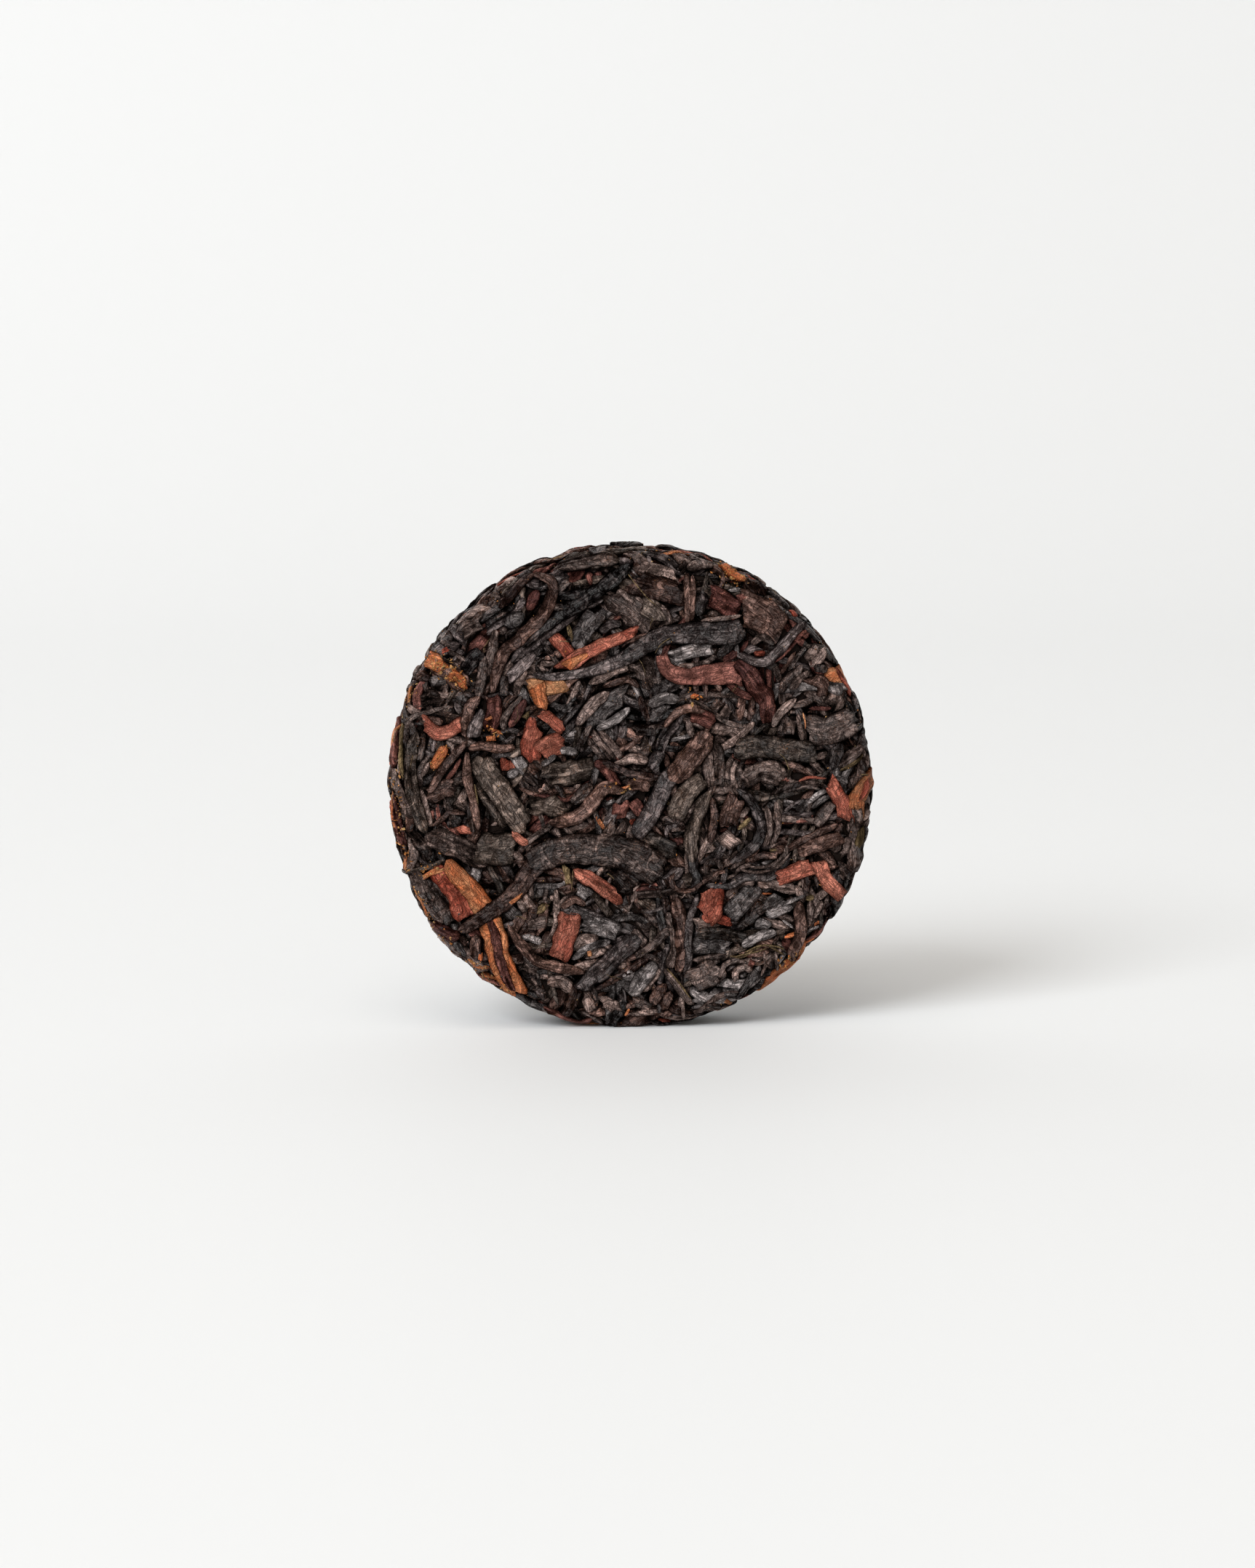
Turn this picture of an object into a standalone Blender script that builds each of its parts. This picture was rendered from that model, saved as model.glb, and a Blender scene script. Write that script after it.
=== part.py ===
"""A small compressed tea cake: a round disc of pressed leaves that stands on its rim.

Units are metres in the meshes and millimetres in the sizes below, with +Z up. The disc's axis
runs along Y, its front face looks towards -Y, and the origin is under its middle, on the
surface that it stands on. The cake is one solid. A smooth core carries the leaves that show,
each a low bar bent onto the core, and the rim is pressed flat where the cake rests.
"""

import math
import random

import bmesh
import bpy

MM = 0.001

# Driving dimensions, in millimetres.
CAKE_DIAMETER = 55.0
CAKE_THICKNESS = 9.5
FACE_RISE = 0.85  # the tallest leaf of a face stands this far above the core
RIM_RISE = 0.4  # and the tallest leaf of the rim this far
EDGE_RADIUS = 1.6  # rounding between a face of the core and its rim
FOOT_DEPTH = 0.35  # how much of the round rim is pressed flat under the cake
LEAF_ROOT = 0.5  # how deep a leaf reaches into the core
LEAF_TOP_SHARE = 0.82  # width of a leaf's top as a share of its foot
LEAF_TIP_SHARE = 0.45  # width of a leaf's ends as a share of its middle
LEAF_LENGTH_STEP = 3.0  # a leaf bends at stations about this far apart
CORE_SIDES = 72
EDGE_STEPS = 3

FRONT_FILL = 30
BACK_FILL = 64
RIM_FILL = 40
SEED = 11

CORE_RADIUS = CAKE_DIAMETER / 2 - RIM_RISE + 0.1
CORE_HALF = CAKE_THICKNESS / 2 - FACE_RISE
CENTRE_HEIGHT = CAKE_DIAMETER / 2 - FOOT_DEPTH
FLAT_RADIUS = CORE_RADIUS - EDGE_RADIUS
EDGE_LENGTH = EDGE_RADIUS * math.pi / 2
SKIN_HALF = FLAT_RADIUS + EDGE_LENGTH + CORE_HALF - EDGE_RADIUS  # face centre to mid rim

# The leaves that stand out on the front, as seen from the front with the disc's centre at
# (0, 0): where each starts, passes and ends, and its width.
FRONT_LEAVES = (
    ((-10.5, 12.2), (0.5, 14.9), (12.0, 17.6), 2.0),
    ((-12.3, 15.9), (-6.0, 20.5), (-0.2, 24.9), 1.5),
    ((-13.2, 14.0), (-8.2, 18.3), (-2.8, 21.3), 1.3),
    ((-10.9, 24.0), (-8.9, 22.4), (-10.6, 18.5), 1.3),
    ((-10.8, 18.2), (-14.4, 15.0), (-15.6, 10.5), 1.3),
    ((-7.2, 13.4), (-3.0, 15.8), (0.4, 17.4), 1.5),
    ((3.3, 14.8), (6.6, 12.1), (13.0, 12.3), 1.8),
    ((12.1, 14.9), (15.8, 14.4), (19.9, 18.4), 1.0),
    ((12.0, 14.0), (15.0, 10.5), (15.6, 6.9), 1.8),
    ((13.0, 20.2), (15.4, 19.1), (17.0, 17.5), 3.4),
    ((10.6, 24.9), (11.7, 24.1), (12.8, 23.2), 1.8),
    ((15.6, 22.3), (17.0, 21.5), (18.3, 20.3), 1.2),
    ((0.5, 23.0), (3.0, 22.3), (5.8, 21.7), 2.4),
    ((-2.0, 21.5), (0.4, 19.9), (2.5, 17.8), 3.0),
    ((6.4, 24.0), (6.8, 21.2), (6.6, 18.4), 1.3),
    ((9.3, 21.5), (11.0, 20.6), (12.3, 19.6), 2.2),
    ((-6.5, 15.7), (-5.2, 17.6), (-3.7, 19.5), 2.0),
    ((-8.0, 25.0), (-5.0, 25.6), (-2.0, 25.5), 1.6),
    ((-19.2, 17.4), (-18.0, 18.2), (-16.8, 18.9), 2.2),
    ((-22.7, 14.6), (-20.5, 12.8), (-18.5, 11.3), 1.8),
    ((20.1, 6.4), (22.6, 6.2), (25.4, 7.6), 2.8),
    ((12.0, 4.0), (16.2, 4.5), (21.0, 3.8), 2.2),
    ((13.0, 0.8), (15.2, 1.6), (17.3, 0.8), 2.4),
    ((16.2, 6.6), (17.8, 9.6), (19.5, 13.5), 0.9),
    ((12.3, -0.6), (14.9, -4.5), (11.5, -8.6), 1.1),
    ((22.8, 0.3), (23.9, -1.6), (24.6, -3.7), 1.6),
    ((19.0, -7.7), (21.6, -6.8), (24.3, -6.0), 1.6),
    ((11.2, -4.5), (11.6, -2.9), (12.0, -1.5), 2.0),
    ((-23.3, 7.2), (-21.1, 5.9), (-18.9, 7.2), 1.4),
    ((-24.2, 5.8), (-24.9, 0.6), (-23.2, -5.5), 1.3),
    ((-18.5, 4.9), (-20.7, 2.2), (-22.7, -0.8), 0.9),
    ((-18.4, 3.7), (-18.3, -0.4), (-17.5, -5.0), 1.4),
    ((-17.0, 3.0), (-14.6, -0.8), (-12.0, -4.8), 2.4),
    ((-15.3, 10.0), (-15.5, 8.0), (-15.8, 6.0), 1.6),
    ((-10.8, 11.5), (-10.5, 10.0), (-10.2, 8.6), 1.3),
    ((-11.6, 3.2), (-11.3, 4.8), (-10.7, 6.6), 1.9),
    ((-10.2, 3.4), (-9.1, 4.2), (-7.9, 5.0), 2.2),
    ((-22.9, -5.9), (-19.8, -6.9), (-16.5, -9.0), 2.2),
    ((-17.2, -7.2), (-15.2, -7.3), (-13.0, -7.0), 3.2),
    ((-9.0, -4.3), (-4.8, -2.6), (-0.8, -0.8), 1.5),
    ((-11.7, -2.5), (-9.5, -2.4), (-7.3, -3.0), 1.9),
    ((-9.5, 1.0), (-6.9, 1.4), (-4.2, 2.0), 2.4),
    ((-3.0, 2.7), (0.2, 1.2), (3.8, 0.6), 1.0),
    ((-3.9, 6.5), (-2.9, 8.9), (-0.5, 10.2), 2.0),
    ((0.8, -5.5), (3.6, -1.2), (6.8, 3.0), 1.8),
    ((4.8, 0.5), (6.9, 3.2), (8.8, 6.0), 2.4),
    ((7.0, -8.5), (7.2, -4.9), (8.8, -1.0), 1.5),
    ((-10.2, -7.5), (-3.6, -7.4), (3.2, -9.4), 3.0),
    ((-9.9, -8.4), (-13.6, -12.6), (-19.0, -16.8), 1.5),
    ((-22.2, -8.8), (-19.5, -11.3), (-16.0, -14.0), 2.3),
    ((-15.6, -15.3), (-14.8, -19.5), (-12.7, -23.8), 1.9),
    ((-13.8, -15.9), (-10.4, -19.6), (-4.9, -21.0), 1.0),
    ((-6.8, -14.8), (-7.1, -17.2), (-8.5, -19.6), 2.1),
    ((-5.5, -23.6), (-2.4, -20.7), (1.0, -17.2), 1.9),
    ((0.3, -23.8), (1.6, -21.9), (2.8, -20.3), 1.5),
    ((3.9, -20.8), (5.5, -22.8), (7.0, -24.8), 0.9),
    ((5.4, -13.2), (5.9, -17.0), (5.2, -20.8), 1.7),
    ((7.0, -22.6), (9.6, -21.2), (11.2, -18.9), 2.4),
    ((8.6, -11.4), (13.8, -10.5), (18.4, -7.9), 0.9),
    ((9.4, -11.9), (9.3, -13.3), (8.6, -14.9), 2.4),
    ((16.8, -10.8), (19.0, -9.3), (21.3, -8.9), 1.7),
    ((21.5, -8.9), (22.9, -10.6), (24.0, -12.4), 1.4),
    ((11.6, -14.6), (13.2, -13.3), (14.8, -12.2), 1.9),
    ((19.4, -13.5), (19.3, -16.8), (18.2, -20.0), 1.3),
    ((7.5, -17.6), (12.0, -17.9), (16.5, -16.6), 1.4),
    ((12.4, -24.0), (14.6, -21.8), (16.6, -19.4), 2.0),
)


def clear_scene():
    for obj in list(bpy.data.objects):
        bpy.data.objects.remove(obj)


def leaf_material():
    """Dark fermented leaf, matt with a faint sheen."""
    material = bpy.data.materials.new("pressed_leaf")
    material.use_nodes = True
    shader = material.node_tree.nodes["Principled BSDF"]
    shader.inputs["Base Color"].default_value = (0.035, 0.026, 0.022, 1.0)
    shader.inputs["Roughness"].default_value = 0.55
    shader.inputs["Metallic"].default_value = 0.0
    return material


def profile_point(along, rise):
    """(radius, y) of a point of the core's half profile, raised from its skin.

    The way along the skin starts at the middle of the front face, runs over the rounded edge
    and down the rim, and ends at the middle of the back.
    """
    if along > SKIN_HALF:
        radius, y = profile_point(2 * SKIN_HALF - along, rise)
        return radius, -y
    if along < FLAT_RADIUS:
        return along, -(CORE_HALF + rise)
    past = along - FLAT_RADIUS
    if past < EDGE_LENGTH:
        turn = past / EDGE_RADIUS
        reach = EDGE_RADIUS + rise
        return FLAT_RADIUS + reach * math.sin(turn), EDGE_RADIUS - CORE_HALF - reach * math.cos(turn)
    return CORE_RADIUS + rise, EDGE_RADIUS - CORE_HALF + past - EDGE_LENGTH


def skin_point(along, angle, rise):
    """A point over the core's skin, in metres."""
    radius, y = profile_point(along, rise)
    height = CENTRE_HEIGHT + radius * math.sin(angle)
    return (radius * math.cos(angle) * MM, y * MM, height * MM)


def unrolled(point):
    """A point seen near the edge from the front, moved out to its real way along the skin."""
    u, v = point
    radius = math.hypot(u, v)
    if radius <= FLAT_RADIUS:
        return point
    turn = math.asin(min(1.0, (radius - FLAT_RADIUS) / (EDGE_RADIUS + RIM_RISE)))
    stretch = (FLAT_RADIUS + EDGE_RADIUS * turn) / radius
    return (u * stretch, v * stretch)


def front_skin(u, v, rise):
    return skin_point(math.hypot(u, v), math.atan2(v, u), rise)


def back_skin(u, v, rise):
    return skin_point(2 * SKIN_HALF - math.hypot(u, v), math.atan2(v, u), rise)


def rim_skin(u, v, rise):
    """u runs round the rim and v across it, from its middle."""
    return skin_point(SKIN_HALF + v, u / CORE_RADIUS, rise)


def bow(start, middle, end):
    """The curve through three points, as a function of 0 to 1."""
    pull = [2 * m - (s + e) / 2 for s, m, e in zip(start, middle, end)]

    def at(t):
        return tuple(
            (1 - t) ** 2 * s + 2 * t * (1 - t) * p + t**2 * e for s, p, e in zip(start, pull, end)
        )

    return at


def add_object(name, mesh_bmesh, collection):
    mesh = bpy.data.meshes.new(name)
    bmesh.ops.recalc_face_normals(mesh_bmesh, faces=mesh_bmesh.faces)
    mesh_bmesh.to_mesh(mesh)
    mesh_bmesh.free()
    obj = bpy.data.objects.new(name, mesh)
    collection.objects.link(obj)
    return obj


def add_leaf(name, leaf, rise, skin, collection, rng):
    """One leaf: a bar cut into short lengths, narrower at its top and ends, bent onto the skin."""
    start, middle, end, width = leaf
    route = bow(start, middle, end)
    length = math.dist(start, middle) + math.dist(middle, end)
    steps = max(2, round(length / LEAF_LENGTH_STEP))
    wave = rng.uniform(0.04, 0.1)
    phase = rng.uniform(0, 2 * math.pi)
    bar = bmesh.new()
    bmesh.ops.create_cube(bar, size=1.0)
    long_edges = [e for e in bar.edges if abs(e.verts[0].co.x - e.verts[1].co.x) > 0.5]
    bmesh.ops.subdivide_edges(bar, edges=long_edges, cuts=steps - 1)
    for vert in bar.verts:
        t = vert.co.x + 0.5
        u, v = route(t)
        ahead, behind = route(min(1.0, t + 0.01)), route(max(0.0, t - 0.01))
        du, dv = ahead[0] - behind[0], ahead[1] - behind[1]
        slope = math.hypot(du, dv)
        taper = LEAF_TIP_SHARE + (1 - LEAF_TIP_SHARE) * math.sin(math.pi * t) ** 0.6
        on_top = vert.co.z > 0
        across = vert.co.y * width * taper * (LEAF_TOP_SHARE if on_top else 1.0)
        height = rise * (1 - 0.35 * abs(2 * t - 1) ** 3) - wave * (1 + math.sin(phase + 6 * t)) / 2
        vert.co = skin(u - dv / slope * across, v + du / slope * across, height if on_top else -LEAF_ROOT)
    return add_object(name, bar, collection)


def add_core(collection):
    """The core, its half profile spun about Y."""
    stations = [0.0, FLAT_RADIUS]
    stations += [FLAT_RADIUS + EDGE_LENGTH * (i + 1) / EDGE_STEPS for i in range(EDGE_STEPS)]
    stations += [2 * SKIN_HALF - along for along in reversed(stations)]
    core = bmesh.new()
    outline = [core.verts.new(skin_point(along, 0.0, 0.0)) for along in stations]
    edges = [core.edges.new(pair) for pair in zip(outline, outline[1:])]
    bmesh.ops.spin(
        core,
        geom=outline + edges,
        cent=(0, 0, CENTRE_HEIGHT * MM),
        axis=(0, 1, 0),
        angle=2 * math.pi,
        steps=CORE_SIDES,
        use_merge=True,
    )
    bmesh.ops.remove_doubles(core, verts=core.verts, dist=1e-6)
    return add_object("core", core, collection)


def spread_leaves(count, taken, draw, rng):
    """Leaves drawn by a rule, each put where it lies farthest from those already laid."""
    leaves = []
    for _ in range(count):
        tries = [draw(rng) for _ in range(24)]
        best = max(tries, key=lambda leaf: min(math.dist(leaf[1], p) for p in taken))
        taken.extend(best[:3])
        leaves.append(best)
    return leaves


def leaf_from(middle, turn, length, width, bend):
    """A bowed leaf through its middle, at an angle, with its ends bent to one side."""
    half = (math.cos(turn) * length / 2, math.sin(turn) * length / 2)
    side = (-math.sin(turn) * bend, math.cos(turn) * bend)
    start = (middle[0] - half[0] + side[0], middle[1] - half[1] + side[1])
    end = (middle[0] + half[0] + side[0], middle[1] + half[1] + side[1])
    return (start, middle, end, width)


def draw_face_leaf(rng):
    """A leaf anywhere on a face, lying along the rim when it is near it."""
    radius = (CORE_RADIUS - 0.6) * math.sqrt(rng.random())
    angle = rng.uniform(0, 2 * math.pi)
    near_rim = radius > 0.8 * CORE_RADIUS
    turn = angle + math.pi / 2 + rng.gauss(0, 0.35) if near_rim else rng.uniform(0, math.pi)
    middle = (radius * math.cos(angle), radius * math.sin(angle))
    length = rng.uniform(5.0, 10.0)
    bend = length * length / (8 * CORE_RADIUS) if near_rim else rng.uniform(-0.8, 0.8)
    return leaf_from(middle, turn, length, rng.uniform(1.2, 3.0), bend)


def draw_rim_leaf(rng):
    """A leaf on the rim, more or less along it."""
    middle = (rng.uniform(-math.pi, math.pi) * CORE_RADIUS, rng.uniform(-2.2, 2.2))
    return leaf_from(middle, rng.gauss(0, 0.3), rng.uniform(4.0, 8.0), rng.uniform(1.1, 2.4), 0.2)


def add_foot_leaves(collection, rng):
    """Leaves across the bottom of the rim, which the flat under the cake cuts through."""
    bottom = -math.pi / 2 * CORE_RADIUS
    for i, away in enumerate((-4.6, -1.6, 1.7, 4.5)):
        leaf = leaf_from((bottom + away, 0.0), math.pi / 2, 7.6, 3.0, 0.3)
        add_leaf(f"foot_leaf_{i}", leaf, RIM_RISE + 0.25, rim_skin, collection, rng)


def add_leaves(collection):
    rng = random.Random(SEED)
    taken = [point for leaf in FRONT_LEAVES for point in leaf[:3]]
    shown = [(*map(unrolled, leaf[:3]), leaf[3]) for leaf in FRONT_LEAVES]
    for i, leaf in enumerate(shown):
        rise = FACE_RISE * rng.uniform(0.72, 1.0)
        add_leaf(f"front_leaf_{i}", leaf, rise, front_skin, collection, rng)
    for i, leaf in enumerate(spread_leaves(FRONT_FILL, taken, draw_face_leaf, rng)):
        rise = FACE_RISE * rng.uniform(0.4, 0.7)
        add_leaf(f"front_fill_{i}", leaf, rise, front_skin, collection, rng)
    for i, leaf in enumerate(spread_leaves(BACK_FILL, [(0.0, 0.0)], draw_face_leaf, rng)):
        rise = FACE_RISE * rng.uniform(0.45, 1.0)
        add_leaf(f"back_fill_{i}", leaf, rise, back_skin, collection, rng)
    for i, leaf in enumerate(spread_leaves(RIM_FILL, [(0.0, 0.0)], draw_rim_leaf, rng)):
        rise = RIM_RISE * rng.uniform(0.4, 1.0)
        add_leaf(f"rim_fill_{i}", leaf, rise, rim_skin, collection, rng)
    add_foot_leaves(collection, rng)


def add_ground(collection):
    """The space under the cake, which cuts the flat that it rests on."""
    ground = bmesh.new()
    bmesh.ops.create_cube(ground, size=2 * CAKE_DIAMETER * MM)
    bmesh.ops.translate(ground, verts=ground.verts, vec=(0, 0, -CAKE_DIAMETER * MM))
    cutter = add_object("ground", ground, collection)
    cutter.hide_render = True
    cutter.display_type = "WIRE"
    return cutter


def apply_modifiers(obj):
    graph = bpy.context.evaluated_depsgraph_get()
    mesh = bpy.data.meshes.new_from_object(obj.evaluated_get(graph))
    obj.modifiers.clear()
    obj.data = mesh


def drop_scraps(obj):
    """Keeps the largest connected body of the mesh."""
    mesh = bmesh.new()
    mesh.from_mesh(obj.data)
    left = set(mesh.verts)
    bodies = []
    while left:
        body, front = set(), [left.pop()]
        while front:
            vert = front.pop()
            body.add(vert)
            near = {edge.other_vert(vert) for edge in vert.link_edges} & left
            left -= near
            front.extend(near)
        bodies.append(body)
    keep = max(bodies, key=len)
    loose = [vert for body in bodies if body is not keep for vert in body]
    bmesh.ops.delete(mesh, geom=loose, context="VERTS")
    mesh.to_mesh(obj.data)
    mesh.free()


def make_tea_cake():
    scene = bpy.context.scene.collection
    pieces = bpy.data.collections.new("leaves")
    scene.children.link(pieces)
    cake = add_core(scene)
    cake.name = "tea_cake"
    cake.data.name = "tea_cake"
    add_leaves(pieces)
    fuse = cake.modifiers.new("fuse_leaves", "BOOLEAN")
    fuse.operation = "UNION"
    fuse.operand_type = "COLLECTION"
    fuse.collection = pieces
    foot = cake.modifiers.new("cut_foot", "BOOLEAN")
    foot.operation = "DIFFERENCE"
    foot.object = add_ground(scene)
    apply_modifiers(cake)
    bpy.data.objects.remove(bpy.data.objects["ground"])
    for piece in list(pieces.objects):
        bpy.data.objects.remove(piece)
    bpy.data.collections.remove(pieces)
    drop_scraps(cake)
    cake.data.materials.clear()
    cake.data.materials.append(leaf_material())
    return cake


clear_scene()
make_tea_cake()
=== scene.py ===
# %% [markdown]
# # A compressed tea cake, dressed
#
# A tea cake is a disc of dark, rolled leaves that were steamed and pressed hard in a round
# mould. What the eye reads is not the disc but its leaves: every one is a separate thing, lies
# on the ones below, and was flattened by the same stone. This lesson lays them one at a time.
#
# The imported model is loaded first, as a fixed frame. It stands on its rim at the origin, with
# its front towards -Y, and everything made below has to stay within its size.

# %% Load the frame
import functools
import math

import bmesh
import bpy
import numpy as np
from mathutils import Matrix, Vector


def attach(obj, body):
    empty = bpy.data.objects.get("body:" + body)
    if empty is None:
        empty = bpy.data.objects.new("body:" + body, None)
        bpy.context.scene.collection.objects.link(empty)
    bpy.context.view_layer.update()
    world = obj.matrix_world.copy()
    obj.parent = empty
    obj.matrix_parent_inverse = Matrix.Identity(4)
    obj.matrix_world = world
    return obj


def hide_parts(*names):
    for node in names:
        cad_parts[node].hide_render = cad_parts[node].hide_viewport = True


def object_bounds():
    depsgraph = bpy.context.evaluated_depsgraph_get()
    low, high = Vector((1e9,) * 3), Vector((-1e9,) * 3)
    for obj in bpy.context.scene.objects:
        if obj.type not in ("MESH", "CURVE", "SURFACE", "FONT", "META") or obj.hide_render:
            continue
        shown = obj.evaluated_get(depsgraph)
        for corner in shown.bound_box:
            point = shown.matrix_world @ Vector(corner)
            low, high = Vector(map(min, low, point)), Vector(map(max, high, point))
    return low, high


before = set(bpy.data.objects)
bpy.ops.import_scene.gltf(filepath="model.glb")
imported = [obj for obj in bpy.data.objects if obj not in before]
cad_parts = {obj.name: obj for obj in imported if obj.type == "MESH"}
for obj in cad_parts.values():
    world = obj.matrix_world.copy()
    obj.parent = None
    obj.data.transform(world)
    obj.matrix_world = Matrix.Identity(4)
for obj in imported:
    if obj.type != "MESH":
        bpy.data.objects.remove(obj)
cad_low, cad_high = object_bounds()
MM = 0.001
print("its size:", [round(s / MM, 1) for s in cad_high - cad_low], "mm")

# %% [markdown]
# ## The cake's skin
#
# The press sets one smooth surface: two flat faces, a straight rim and a rounded edge between
# them. All leaves are placed by their way along that surface and by how far they stand above
# or below it. So the first helper turns a way along the half profile, from the middle of the
# front face over the edge to the middle of the back, into a radius and a place along Y.

# %% The pressed surface
CAKE_RADIUS = (cad_high.x - cad_low.x) / 2 / MM
CAKE_HALF = (cad_high.y - cad_low.y) / 2 / MM
STANDING_OUT = 0.05  # how far the topmost leaves stand out of the pressed rim
CENTRE_HEIGHT = cad_high.z / MM - CAKE_RADIUS - STANDING_OUT
EDGE_RADIUS = 2.3  # rounding between a face and the rim
FLAT_RADIUS = CAKE_RADIUS - EDGE_RADIUS
EDGE_LENGTH = EDGE_RADIUS * math.pi / 2
RIM_START = FLAT_RADIUS + EDGE_LENGTH
RIM_HALF = CAKE_HALF - EDGE_RADIUS
SKIN_HALF = RIM_START + RIM_HALF  # the way from the middle of a face to the middle of the rim
FOOT = 0.18  # what comes lower than this is squeezed against the ground


def profile(along, rise):
    """Radius and y of points on the half profile, raised from it, for arrays of millimetres."""
    front = np.minimum(along, 2 * SKIN_HALF - along)
    side = np.where(along > SKIN_HALF, -1.0, 1.0)
    turn = np.clip((front - FLAT_RADIUS) / EDGE_RADIUS, 0, math.pi / 2)
    reach = EDGE_RADIUS + rise
    radius = np.minimum(front, FLAT_RADIUS) + reach * np.sin(turn)
    y = -RIM_HALF - reach * np.cos(turn) + np.maximum(front - RIM_START, 0)
    return radius, side * y


def skin_points(along, angle, rise):
    """Points over the skin, in metres. Near the ground they are pressed flat without crossing it."""
    radius, y = profile(along, rise)
    z = CENTRE_HEIGHT + radius * np.sin(angle)
    z = np.where(z < FOOT, FOOT * np.exp(np.minimum(z - FOOT, 0) / FOOT), z)
    return np.stack([radius * np.cos(angle), y, z], axis=-1) * MM


print("skin from face to face:", round(2 * SKIN_HALF, 1), "mm")

# %% [markdown]
# ## Chance, and rough surfaces
#
# No two leaves are alike, so much is drawn at random, but from one seeded source, and the cake
# is the same every time. Crumpled surfaces come from value noise: random heights on a lattice,
# blended smoothly between its points. It is a few lines in numpy and takes any place in
# millimetres, so a leaf and the map under it can share it.

# %% Seeded chance and noise
rng = np.random.default_rng(20)
SHEETS, LATTICE_SIDE = 8, 96
LATTICE = rng.random((SHEETS, LATTICE_SIDE, LATTICE_SIDE))
LATTICE_SHIFT = 37.0, 53.0  # so that the patterns don't meet at the middle of the cake
FINER = (2.1, 0.5), (4.3, 0.25)  # the layers of rough noise: how much smaller and how much lower


def noise(u, v, cell, sheet=0):
    """Smooth random heights from -1 to 1, with bumps about one cell across."""
    table = LATTICE[sheet % SHEETS]
    x, y = u / cell + LATTICE_SHIFT[0], v / cell + LATTICE_SHIFT[1]
    x0, y0 = np.floor(x).astype(int), np.floor(y).astype(int)
    fx, fy = x - x0, y - y0
    fx, fy = fx * fx * (3 - 2 * fx), fy * fy * (3 - 2 * fy)
    x0, y0, x1, y1 = (n % LATTICE_SIDE for n in (x0, y0, x0 + 1, y0 + 1))
    low = table[x0, y0] * (1 - fx) + table[x1, y0] * fx
    high = table[x0, y1] * (1 - fx) + table[x1, y1] * fx
    return 2 * (low * (1 - fy) + high * fy) - 1


def rough(u, v, cell, sheet=0):
    """Noise with two finer layers on it, from -1 to 1."""
    fine = sum(share * noise(u, v, cell / smaller, sheet + k)
               for k, (smaller, share) in enumerate(FINER, 1))
    return (noise(u, v, cell, sheet) + fine) / (1 + sum(share for _, share in FINER))


print("noise at the middle:", round(float(noise(0.0, 0.0, 1.0)), 3))

# %% [markdown]
# ## Height maps
#
# Leaves must lie on each other and not pass through each other. Instead of a slow simulation,
# each stretch of skin keeps a map of how high the leaves on it reach, on squares a tenth of a
# millimetre wide. A new leaf reads the map under it, rests on what it finds, and then raises
# the map with its own top. That is how a stack of cards would be built, and it takes
# milliseconds.
#
# Once all leaves are laid, the map also says how deep a point lies between its neighbours. The gaps of a
# pressed cake look nearly black, so that depth is kept and painted into the finishes as shade.

# %% Helpers for maps
CELL = 0.1  # side of the squares of a map
CREVICE = 0.28  # a point this far under its neighbours is in full shadow
FADE = 1.4  # over 1, so that the shadow is narrow and deep
NEIGHBOURS, SWELLING = 9, 25  # cells across the squares over which heights are averaged
BED, BED_ROUGH, GRAIN = -1.35, 0.25, 1.2  # height of the leaf dust, its bumps and their size


def soften(field, rows, columns):
    """The field blurred a number of times along its rows and along its columns."""
    for axis, repeats in ((0, rows), (1, columns)):
        for _ in range(repeats):
            padded = np.pad(field, [(1, 1) if k == axis else (0, 0) for k in (0, 1)], mode="edge")
            low, high = np.roll(padded, 1, axis), np.roll(padded, -1, axis)
            field = ((low + 2 * padded + high) / 4).take(range(1, padded.shape[axis] - 1), axis)
    return field


def average(field, cells):
    """The field averaged twice over squares of that many cells."""
    for axis in (0, 1, 0, 1):
        ends = [(cells // 2 + 1, cells // 2) if k == axis else (0, 0) for k in (0, 1)]
        total = np.cumsum(np.pad(field, ends, mode="edge"), axis=axis)
        size = field.shape[axis]
        last, first = total.take(range(cells, size + cells), axis), total.take(range(size), axis)
        field = (last - first) / cells
    return field


print("a map has", round(1 / CELL) ** 2, "cells to the square millimetre")

# %% Stretches of skin with a height map
class Skin:
    """A stretch of the cake's skin laid flat, u across and v up, with its height map."""

    def __init__(self, half_u, half_v, hand):
        self.half_u, self.half_v, self.hand = half_u, half_v, hand
        u = np.arange(-half_u, half_u, CELL)
        v = np.arange(-half_v, half_v, CELL)
        grid_u, grid_v = np.meshgrid(u, v, indexing="ij")
        self.map = BED + BED_ROUGH * rough(grid_u, grid_v, GRAIN, 3)

    def cells(self, u, v):
        i = np.clip(((u + self.half_u) / CELL).astype(int), 0, self.map.shape[0] - 1)
        j = np.clip(((v + self.half_v) / CELL).astype(int), 0, self.map.shape[1] - 1)
        return i, j

    def height(self, u, v):
        return self.map[self.cells(u, v)]

    def raise_to(self, u, v, top):
        inside = (np.abs(u) < self.half_u) & (np.abs(v) < self.half_v)
        np.maximum.at(self.map, self.cells(u[inside], v[inside]), top[inside])

    def finish(self):
        """Keeps the heights around every cell, once all leaves are laid."""
        self.around, self.broad = average(self.map, NEIGHBOURS), average(self.map, SWELLING)

    def shadow(self, u, v, top):
        """1 for points that lie deep between their neighbours, 0 for those that stand free."""
        return np.clip((self.around[self.cells(u, v)] - top) / CREVICE, 0, 1) ** FADE


print("heights start at", BED, "mm")

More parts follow.
